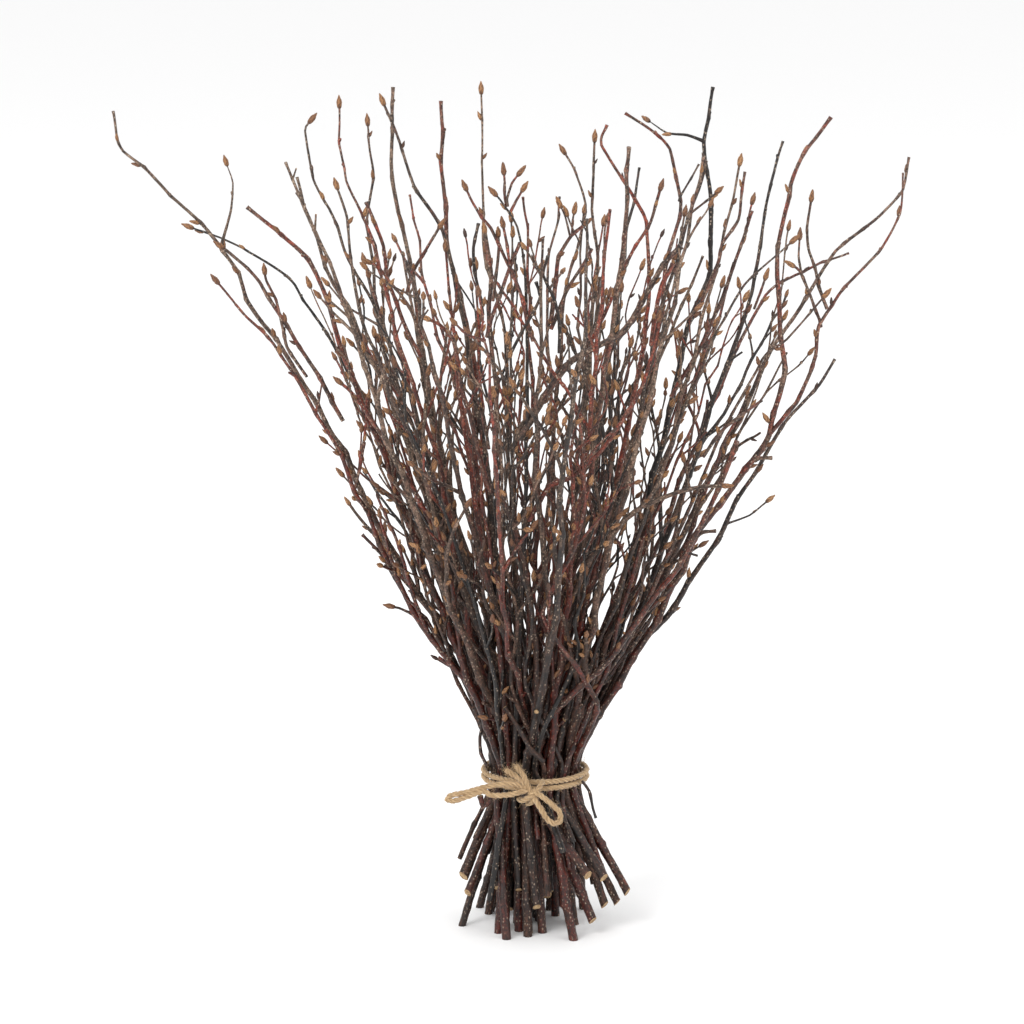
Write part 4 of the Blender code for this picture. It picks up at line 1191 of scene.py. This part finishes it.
def bud_object():
    """A birch bud: a pointed spindle of overlapping scales, a few dozen faces."""
    work = bmesh.new()
    shade = work.verts.layers.float.new("scale_edge")
    high = work.verts.layers.float.new("bud_height")
    sides = 8
    profile = [(0.0, 0.55), (0.08, 0.8), (0.25, 1.0), (0.44, 0.98), (0.62, 0.82), (0.8, 0.56),
               (0.93, 0.28)]
    rings = []
    for row, (t, width) in enumerate(profile):
        ring = []
        for k in range(sides):
            angle = 2 * math.pi * (k + 0.5 * (row % 2)) / sides
            edge = 0.5 - 0.5 * math.cos(4 * angle + row * math.pi * 0.5)
            radius = BUD_RADIUS * width * (1 - 0.13 * edge)
            vert = work.verts.new((radius * math.cos(angle), radius * math.sin(angle),
                                   BUD_LENGTH * (t - 0.05 * edge)))
            vert[shade] = edge
            vert[high] = t
            ring.append(vert)
        rings.append(ring)
    tip = work.verts.new((0, 0, BUD_LENGTH))
    tip[shade], tip[high] = 1.0, 1.0
    for row in range(len(rings) - 1):
        for k in range(sides):
            following = (k + 1) % sides
            work.faces.new((rings[row][k], rings[row][following], rings[row + 1][following],
                            rings[row + 1][k]))
    for k in range(sides):
        work.faces.new((rings[-1][k], rings[-1][(k + 1) % sides], tip))
    work.faces.new(list(reversed(rings[0])))
    bmesh.ops.recalc_face_normals(work, faces=work.faces)
    mesh = bpy.data.meshes.new("bud")
    work.to_mesh(mesh)
    work.free()
    mesh.shade_smooth()
    made = bpy.data.objects.new("bud", mesh)
    bpy.context.scene.collection.objects.link(made)
    return made


def cut_off(mesh, place, way):
    """Cut a mesh off at a plane, drop what lies along `way`, and show wood on the cut."""
    wood = [slot.name if slot else "" for slot in mesh.materials].index("cut_birch_wood")
    work = bmesh.new()
    work.from_mesh(mesh)
    bmesh.ops.bisect_plane(work, geom=work.verts[:] + work.edges[:] + work.faces[:],
                           plane_co=place, plane_no=way, clear_outer=True)
    made = bmesh.ops.holes_fill(work, edges=[edge for edge in work.edges if edge.is_boundary])
    for face in made["faces"]:
        face.material_index = wood
        face.smooth = False
    work.to_mesh(mesh)
    work.free()


def foot_cut(twig, rng):
    """Where and how a twig's foot is cut: level on the floor, or aslant above it."""
    foot = twig["course"][0]
    if twig["grounded"]:
        return (foot[0], foot[1], 0.0), (0.0, 0.0, -1.0)
    down = unit(foot - twig["course"][1])
    outward = unit(np.array([foot[0], foot[1] - 0.03, 0.0]))
    tilt = rng.uniform(0.5, 0.9)
    place = foot - down * 1.2 * MM
    return tuple(place), tuple(unit(down * math.cos(tilt) + outward * math.sin(tilt)))


def grown_piece(name, source, tree, inputs, cuts=()):
    """The plain mesh that the tree makes of a source mesh, cut off at these planes."""
    source_object = bpy.data.objects.new(name + "_source", source)
    bpy.context.scene.collection.objects.link(source_object)
    modifier = source_object.modifiers.new("Grow", "NODES")
    modifier.node_group = tree
    for item in tree.interface.items_tree:
        if item.item_type == "SOCKET" and item.in_out == "INPUT" and item.name in inputs:
            modifier[item.identifier] = inputs[item.name]
    source_object.update_tag()
    bpy.context.view_layer.update()
    evaluated = source_object.evaluated_get(bpy.context.evaluated_depsgraph_get())
    mesh = bpy.data.meshes.new_from_object(evaluated)
    bpy.data.objects.remove(source_object)
    for place, way in cuts:
        cut_off(mesh, place, way)
    mesh.name = name
    flat = np.empty(len(mesh.vertices) * 3, dtype=np.float32)
    mesh.vertices.foreach_get("co", flat)
    places = np.clip(flat.reshape(-1, 3), cad_low + 0.02 * MM, cad_high - 0.02 * MM)
    places[:, 2] = np.maximum(places[:, 2], 0.0)
    mesh.vertices.foreach_set("co", places.astype(np.float32).ravel())
    mesh.set_sharp_from_angle(angle=math.radians(60))
    made = bpy.data.objects.new(name, mesh)
    bpy.context.scene.collection.objects.link(made)
    return made


def colour(code):
    """A colour in linear light from its sRGB hex code."""
    parts = [int(code[k:k + 2], 16) / 255 for k in (1, 3, 5)]
    return tuple(p / 12.92 if p <= 0.04045 else ((p + 0.055) / 1.055) ** 2.4 for p in parts) + (1.0,)


def shader_of(made):
    """A new material's node tree and its shader."""
    made.use_nodes = True
    return made.node_tree, made.node_tree.nodes["Principled BSDF"]


def bark_material():
    """Birch bark on young shoots: thin, smooth and faintly glossy, dark brown to red-brown, grey
    where its bloom has stayed, speckled and dotted with pale corky lenticels."""
    made = bpy.data.materials.new("birch_bark")
    tree, shader = shader_of(made)
    skin = node(tree, "ShaderNodeAttribute", attribute_name="skin").outputs["Vector"]
    tone = node(tree, "ShaderNodeAttribute", attribute_name="tone").outputs["Fac"]
    ash = node(tree, "ShaderNodeAttribute", attribute_name="ash").outputs["Fac"]
    place = node(tree, "ShaderNodeTexCoord").outputs["Object"]
    long_way = node(tree, "ShaderNodeMapping", {"Vector": skin, "Scale": (1.0, 1.0, 0.35)})
    patches = node(tree, "ShaderNodeTexNoise",
                   {"Vector": long_way, "Scale": 1 / (3.2 * MM), "Detail": 5.0, "Roughness": 0.7})
    broad = node(tree, "ShaderNodeTexNoise",
                 {"Vector": skin, "Scale": 1 / (16 * MM), "Detail": 2.0, "Roughness": 0.6})
    shift = node(tree, "ShaderNodeMath", {0: patches.outputs["Fac"], 1: 0.5}, operation="SUBTRACT")
    drift = node(tree, "ShaderNodeMath", {0: broad.outputs["Fac"], 1: 0.5}, operation="SUBTRACT")
    change = node(tree, "ShaderNodeMath", {0: drift, 1: 1.1, 2: tone}, operation="MULTIPLY_ADD")
    wander = node(tree, "ShaderNodeMath", {0: shift, 1: 1.8, 2: change}, operation="MULTIPLY_ADD")
    ramp = node(tree, "ShaderNodeValToRGB", {"Fac": wander})
    stops = ramp.color_ramp.elements
    stops[0].position, stops[0].color = 0.0, colour("#1a1412")
    stops[1].position, stops[1].color = 1.0, colour("#7c3a2b")
    for at, code in ((0.25, "#352722"), (0.5, "#523a31"), (0.75, "#67392d")):
        stop = stops.new(at)
        stop.color = colour(code)
    cloud = node(tree, "ShaderNodeTexNoise",
                 {"Vector": long_way, "Scale": 1 / (4.6 * MM), "Detail": 5.0, "Roughness": 0.75})
    older = node(tree, "ShaderNodeMath", {0: ash, 1: 0.34, 2: -0.2}, operation="MULTIPLY_ADD")
    dusted = node(tree, "ShaderNodeMath", {0: cloud.outputs["Fac"], 1: older}, operation="ADD")
    turned = node(tree, "ShaderNodeMath", {0: drift, 1: -0.7, 2: dusted}, operation="MULTIPLY_ADD")
    bloom = node(tree, "ShaderNodeMapRange",
                 {"Value": turned, "From Min": 0.34, "From Max": 0.66, "To Min": 0.0, "To Max": 0.75})
    dusty = node(tree, "ShaderNodeMixRGB",
                 {"Fac": bloom.outputs["Result"], "Color1": ramp.outputs["Color"],
                  "Color2": colour("#867769")})
    grain = node(tree, "ShaderNodeTexNoise",
                 {"Vector": skin, "Scale": 1 / (1.1 * MM), "Detail": 3.0, "Roughness": 0.7})
    tint = node(tree, "ShaderNodeMapRange",
                {"Value": grain.outputs["Fac"], "From Min": 0.36, "From Max": 0.64, "To Min": 0.22,
                 "To Max": 1.85})
    speckled = node(tree, "ShaderNodeMixRGB",
                    {"Fac": 1.0, "Color1": dusty.outputs["Color"], "Color2": tint.outputs["Result"]},
                    blend_type="MULTIPLY")
    blotch = node(tree, "ShaderNodeTexNoise",
                  {"Vector": long_way, "Scale": 1 / (1.9 * MM), "Detail": 3.0, "Roughness": 0.6})
    depth = node(tree, "ShaderNodeMapRange",
                 {"Value": blotch.outputs["Fac"], "From Min": 0.36, "From Max": 0.62,
                  "To Min": 0.32, "To Max": 1.35})
    blotched = node(tree, "ShaderNodeMixRGB",
                    {"Fac": 1.0, "Color1": speckled.outputs["Color"],
                     "Color2": depth.outputs["Result"]}, blend_type="MULTIPLY")
    # Painted shade: the bark is multiplied darker and browner from 300 mm down to 115 mm above the
    # floor, standing in for the shade among the dense lower stems
    level = node(tree, "ShaderNodeSeparateXYZ", {"Vector": place}).outputs["Z"]
    painted_shade_fade = node(tree, "ShaderNodeMapRange",
                 {"Value": level, "From Min": 115 * MM, "From Max": 300 * MM})
    painted_low_shade = node(tree, "ShaderNodeMixRGB",
                    {"Fac": painted_shade_fade.outputs["Result"], "Color1": (0.285, 0.168, 0.132, 1.0),
                     "Color2": (0.83, 0.74, 0.69, 1.0)})
    shaded = node(tree, "ShaderNodeMixRGB",
                  {"Fac": 1.0, "Color1": blotched.outputs["Color"],
                   "Color2": painted_low_shade.outputs["Color"]}, blend_type="MULTIPLY")
    cells = node(tree, "ShaderNodeMapping", {"Vector": skin, "Scale": (1.0, 1.0, 0.7)})
    dots = node(tree, "ShaderNodeTexVoronoi", {"Vector": cells, "Scale": 1 / (1.4 * MM)})
    lenticel = node(tree, "ShaderNodeMapRange",
                    {"Value": dots.outputs["Distance"], "From Min": 0.29, "From Max": 0.19})
    some = node(tree, "ShaderNodeMapRange",
                {"Value": cloud.outputs["Fac"], "From Min": 0.4, "From Max": 0.55,
                 "To Min": 0.1, "To Max": 0.85})
    # Painted shade: the pale lenticel dots are dimmed down to 0.7 towards the bottom, along with the
    # bark
    dots_painted_shade = node(tree, "ShaderNodeMapRange", {"Value": painted_shade_fade, "To Min": 0.7})
    seen = node(tree, "ShaderNodeMath",
                {0: some.outputs["Result"], 1: dots_painted_shade}, operation="MULTIPLY")
    shown = node(tree, "ShaderNodeMath",
                 {0: lenticel.outputs["Result"], 1: seen}, operation="MULTIPLY")
    dotted = node(tree, "ShaderNodeMixRGB",
                  {"Fac": shown, "Color1": shaded.outputs["Color"], "Color2": colour("#b5a08c")})
    tree.links.new(dotted.outputs["Color"], shader.inputs["Base Color"])
    gloss = node(tree, "ShaderNodeMapRange",
                 {"Value": bloom.outputs["Result"], "From Max": 0.6, "To Min": 0.4, "To Max": 0.7})
    tree.links.new(gloss.outputs["Result"], shader.inputs["Roughness"])
    shader.inputs["Specular IOR Level"].default_value = 0.45
    high = node(tree, "ShaderNodeMath", {0: shown, 1: 0.7, 2: grain.outputs["Fac"]},
                operation="MULTIPLY_ADD")
    bump = node(tree, "ShaderNodeBump", {"Height": high, "Strength": 0.8, "Distance": 0.25 * MM})
    tree.links.new(bump.outputs["Normal"], shader.inputs["Normal"])
    return made


def bud_material():
    """Bud scales: dry, papery and resin-dulled, tan to orange-brown with darker edges and tips,
    and nearly black on buds that stayed shut."""
    made = bpy.data.materials.new("bud_scales")
    tree, shader = shader_of(made)
    edge = node(tree, "ShaderNodeAttribute", attribute_name="scale_edge").outputs["Fac"]
    high = node(tree, "ShaderNodeAttribute", attribute_name="bud_height").outputs["Fac"]
    shade = node(tree, "ShaderNodeAttribute", attribute_name="tone").outputs["Fac"]
    place = node(tree, "ShaderNodeTexCoord").outputs["Object"]
    fleck = node(tree, "ShaderNodeTexNoise", {"Vector": place, "Scale": 1 / (1.6 * MM), "Detail": 3.0})
    base = node(tree, "ShaderNodeValToRGB", {"Fac": shade})
    stops = base.color_ramp.elements
    stops[0].position, stops[0].color = 0.0, colour("#a97c52")
    stops[1].position, stops[1].color = 0.8, colour("#3d2a22")
    for at, code in ((0.2, "#91653f"), (0.45, "#6b4630")):
        stop = stops.new(at)
        stop.color = colour(code)
    dark = node(tree, "ShaderNodeMath", {0: edge, 1: fleck.outputs["Fac"]}, operation="MULTIPLY")
    rim = node(tree, "ShaderNodeMapRange",
               {"Value": dark, "From Min": 0.16, "From Max": 0.5, "To Max": 0.85})
    edged = node(tree, "ShaderNodeMixRGB",
                 {"Fac": rim.outputs["Result"], "Color1": base.outputs["Color"],
                  "Color2": colour("#472e22")})
    foot = node(tree, "ShaderNodeMapRange",
                {"Value": high, "From Min": 0.26, "From Max": 0.0, "To Max": 0.8})
    rooted = node(tree, "ShaderNodeMixRGB",
                  {"Fac": foot.outputs["Result"], "Color1": edged.outputs["Color"],
                   "Color2": colour("#3f2b24")})
    tree.links.new(rooted.outputs["Color"], shader.inputs["Base Color"])
    shader.inputs["Roughness"].default_value = 0.6
    bump = node(tree, "ShaderNodeBump",
                {"Height": fleck.outputs["Fac"], "Strength": 0.5, "Distance": 0.2 * MM})
    tree.links.new(bump.outputs["Normal"], shader.inputs["Normal"])
    return made


def cut_wood_material():
    """Freshly cut birch wood: pale tan and matt, with darker mottled patches."""
    made = bpy.data.materials.new("cut_birch_wood")
    tree, shader = shader_of(made)
    skin = node(tree, "ShaderNodeAttribute", attribute_name="skin").outputs["Vector"]
    place = node(tree, "ShaderNodeTexCoord").outputs["Object"]
    grain = node(tree, "ShaderNodeTexNoise", {"Vector": place, "Scale": 1 / (0.8 * MM), "Detail": 4.0})
    spot = node(tree, "ShaderNodeTexNoise", {"Vector": skin, "Scale": 1 / (2 * MM), "Detail": 2.0})
    both = node(tree, "ShaderNodeMath", {0: grain.outputs["Fac"], 1: spot.outputs["Fac"]},
                operation="MULTIPLY")
    worn = node(tree, "ShaderNodeMapRange", {"Value": both, "From Min": 0.12, "From Max": 0.4})
    mixed = node(tree, "ShaderNodeMixRGB",
                 {"Fac": worn.outputs["Result"], "Color1": colour("#7d5e40"),
                  "Color2": colour("#c2a57c")})
    tree.links.new(mixed.outputs["Color"], shader.inputs["Base Color"])
    shader.inputs["Roughness"].default_value = 0.8
    bump = node(tree, "ShaderNodeBump",
                {"Height": grain.outputs["Fac"], "Strength": 0.5, "Distance": 0.2 * MM})
    tree.links.new(bump.outputs["Normal"], shader.inputs["Normal"])
    return made


def jute_material():
    """Natural jute: dry, matt, straw-gold bast fibres twisted into plies."""
    made = bpy.data.materials.new("jute_twine")
    tree, shader = shader_of(made)
    skin = node(tree, "ShaderNodeAttribute", attribute_name="skin").outputs["Vector"]
    fibres = node(tree, "ShaderNodeMapping", {"Vector": skin, "Scale": (1.0, 1.0, 0.12)})
    streak = node(tree, "ShaderNodeTexNoise",
                  {"Vector": fibres, "Scale": 1 / (0.32 * MM), "Detail": 3.0, "Roughness": 0.6})
    patch = node(tree, "ShaderNodeTexNoise", {"Vector": skin, "Scale": 1 / (9 * MM), "Detail": 2.0})
    pale = node(tree, "ShaderNodeMapRange",
                {"Value": streak.outputs["Fac"], "From Min": 0.32, "From Max": 0.68})
    base = node(tree, "ShaderNodeMixRGB",
                {"Fac": pale.outputs["Result"], "Color1": colour("#7a5f40"),
                 "Color2": colour("#d9bb90")})
    cloud = node(tree, "ShaderNodeMapRange",
                 {"Value": patch.outputs["Fac"], "From Min": 0.35, "From Max": 0.7, "To Max": 0.5})
    mixed = node(tree, "ShaderNodeMixRGB",
                 {"Fac": cloud.outputs["Result"], "Color1": base.outputs["Color"],
                  "Color2": colour("#a88661")})
    tree.links.new(mixed.outputs["Color"], shader.inputs["Base Color"])
    shader.inputs["Roughness"].default_value = 0.92
    shader.inputs["Sheen Weight"].default_value = 0.3
    bump = node(tree, "ShaderNodeBump",
                {"Height": streak.outputs["Fac"], "Strength": 0.8, "Distance": 0.2 * MM})
    tree.links.new(bump.outputs["Normal"], shader.inputs["Normal"])
    return made


def backdrop_and_light(offset):
    """A wide pale floor, a large soft key, a fill and an even white surround, and the camera."""
    mesh = bpy.data.meshes.new("floor")
    far = 40
    corners = [(-far, -far, 0), (far, -far, 0), (far, far, 0), (-far, far, 0)]
    mesh.from_pydata(corners, [], [(0, 1, 2, 3)])
    floor = bpy.data.objects.new("floor", mesh)
    bpy.context.scene.collection.objects.link(floor)
    paint = bpy.data.materials.new("pale_floor")
    shader = shader_of(paint)[1]
    shader.inputs["Base Color"].default_value = colour("#f7f7f7")
    shader.inputs["Roughness"].default_value = 0.9
    mesh.materials.append(paint)
    floor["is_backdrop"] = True

    for name, size, power, place in (("key", 1.2, 30.0, (-1.2, -1.6, 1.9)),
                                     ("fill", 1.8, 8.0, (1.8, -1.3, 0.9)),
                                     ("top", 1.6, 10.0, (0.1, 0.5, 2.2))):
        lamp = bpy.data.lights.new(name, "AREA")
        lamp.size = size
        lamp.energy = power
        lamp_object = bpy.data.objects.new(name, lamp)
        lamp_object.location = place
        aim = Vector((0, 0, 0.2)) - Vector(place)
        lamp_object.rotation_euler = aim.to_track_quat("-Z", "Y").to_euler()
        bpy.context.scene.collection.objects.link(lamp_object)

    world = bpy.data.worlds.new("surround")
    bpy.context.scene.world = world
    world.use_nodes = True
    sky = world.node_tree.nodes["Background"]
    sky.inputs["Color"].default_value = (1.0, 1.0, 1.0, 1.0)
    sky.inputs["Strength"].default_value = 1.0

    centre = np.array([VIEW_CENTRE[0], 0, 0]) + VIEW_RISE * VIEW_CENTRE[1]
    camera = bpy.data.cameras.new("camera")
    camera.sensor_width = 36.0
    camera.lens = 36.0 * VIEW_DISTANCE / VIEW_WIDTH
    camera_object = bpy.data.objects.new("camera", camera)
    camera_object.location = Vector(centre - VIEW_LOOK * VIEW_DISTANCE + offset)
    camera_object.rotation_euler = (math.pi / 2 - VIEW_TILT, 0, 0)
    bpy.context.scene.collection.objects.link(camera_object)
    bpy.context.scene.camera = camera_object
    bpy.context.scene.view_settings.view_transform = "Standard"


def moved(twig, offset):
    """The twig with its course moved."""
    return {**twig, "course": twig["course"] + offset}


def look_of(number, rng):
    """How red and how grey a twig's bark is: red-brown, grey-brown and dark twigs in turn."""
    low, high, least_ash, most_ash = LOOKS[number % 3]
    if number in OWN_LOOKS:
        return OWN_LOOKS[number]
    return rng.uniform(low, high), rng.uniform(least_ash, most_ash)


def lay_out():
    """The solids' twigs, fork arms and shoots, and the thinner twigs, each clear of the others."""
    twigs = twig_layout()
    press_apart(twigs)
    room = Room()
    for twig in twigs:
        course, radii = twig["course"], twig["radii"]
        if twig["end"] == "bud":
            course, radii = with_bud(course, radii)
        room.add(course, radii, twig["number"])
    for course in twine_pieces()[1].values():
        room.add(course, [TWINE_RADIUS] * len(course), 0)
    arms = []
    for number, leaves_at, tip_depth, end, points in FORKS:
        course, radii = fork_arm(twigs[number - 1], leaves_at, tip_depth, end, points)
        room.add(course, radii, -1)
        trunk = twigs[number - 1]["course"]
        arms.append({"course": np.concatenate([[trunk[leaves_at]], course[1:]]), "radii": radii,
                     "end": end, "grounded": False, "number": number})
    shoots = side_shoots(twigs, room)
    centre = middle_of(room)
    extras = extra_layout(twigs)
    press_apart(twigs + extras, rounds=260, held=len(twigs))
    return twigs, arms, shoots, extras, np.array([-centre[0], -centre[1], 0.0])


def dress_solids(twigs, arms, shoots, offset, tree, inputs, rng):
    """A birch twig in place of each solid, with the foot of each cut off."""
    for twig in twigs:
        number = twig["number"]
        growth = Growth(offset)
        own = [(course + offset, thin) for course, thin in shoots[number]]
        twig = moved(twig, offset)
        fullness = 0.6 if number <= len(FRONT_TWIGS) else 1.0
        grow_twig(growth, twig, own, rng, look_of(number, rng), fullness)
        piece = grown_piece(f"birch_twig_{number:02d}", growth.mesh("lines"), tree, inputs,
                            [foot_cut(twig, rng)])
        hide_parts(f"twig_{number:02d}")
        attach(piece, "root")
    for arm in arms:
        number = arm["number"]
        growth = Growth(offset)
        grow_twig(growth, moved(arm, offset), [], rng, look_of(number, rng), 0.8)
        piece = grown_piece(f"birch_fork_{number:02d}", growth.mesh("lines"), tree, inputs)
        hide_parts(f"twig_{number:02d}_fork")
        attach(piece, "root")


def fill_between(extras, offset, tree, inputs, rng):
    """The thinner twigs of the middle, and the thin twigs that cross in front."""
    sheaves = [Growth(offset) for _ in range(EXTRA_PIECES)]
    for order, twig in enumerate(extras):
        grow_twig(sheaves[order % EXTRA_PIECES], moved(twig, offset), [], rng,
                  look_of(order % EXTRA_PIECES, rng), 1.0)
    for order, growth in enumerate(sheaves):
        piece = grown_piece(f"inner_twigs_{order + 1}", growth.mesh("lines"), tree, inputs)
        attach(piece, "root")
    crossing = [Growth(offset) for _ in range(3)]
    for order, seen in enumerate(SEEN_TWIGS):
        grow_seen(crossing[order % 3], seen, offset, rng)
    for order, growth in enumerate(crossing):
        piece = grown_piece(f"crossing_twigs_{order + 1}", growth.mesh("lines"), tree, inputs)
        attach(piece, "root")


def tie(offset, tree, inputs, rng):
    """The twine and its loose fibres."""
    strands, fibres = twine(offset, rng)
    inputs = {**inputs, "Sides": PLY_SIDES, "Relief": PLY_RELIEF, "Bark": jute_material()}
    piece = grown_piece("jute_twine", strands.mesh("lines"), tree, inputs)
    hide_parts("twine_tie")
    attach(piece, "root")
    inputs["Sides"] = FIBRE_SIDES
    piece = grown_piece("twine_fibres", fibres.mesh("lines"), tree, inputs)
    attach(piece, "root")


def main():
    twigs, arms, shoots, extras, offset = lay_out()
    backdrop_and_light(offset)
    tree = twig_tree()
    bud = bud_object()
    inputs = {"Sides": TWIG_SIDES, "Relief": BARK_RELIEF, "Bud": bud, "Bark": bark_material(),
              "Cut wood": cut_wood_material(), "Bud scales": bud_material()}
    rng = np.random.default_rng(40)
    dress_solids(twigs, arms, shoots, offset, tree, inputs, rng)
    fill_between(extras, offset, tree, inputs, rng)
    tie(offset, tree, inputs, rng)
    bpy.data.objects.remove(bud)


main()
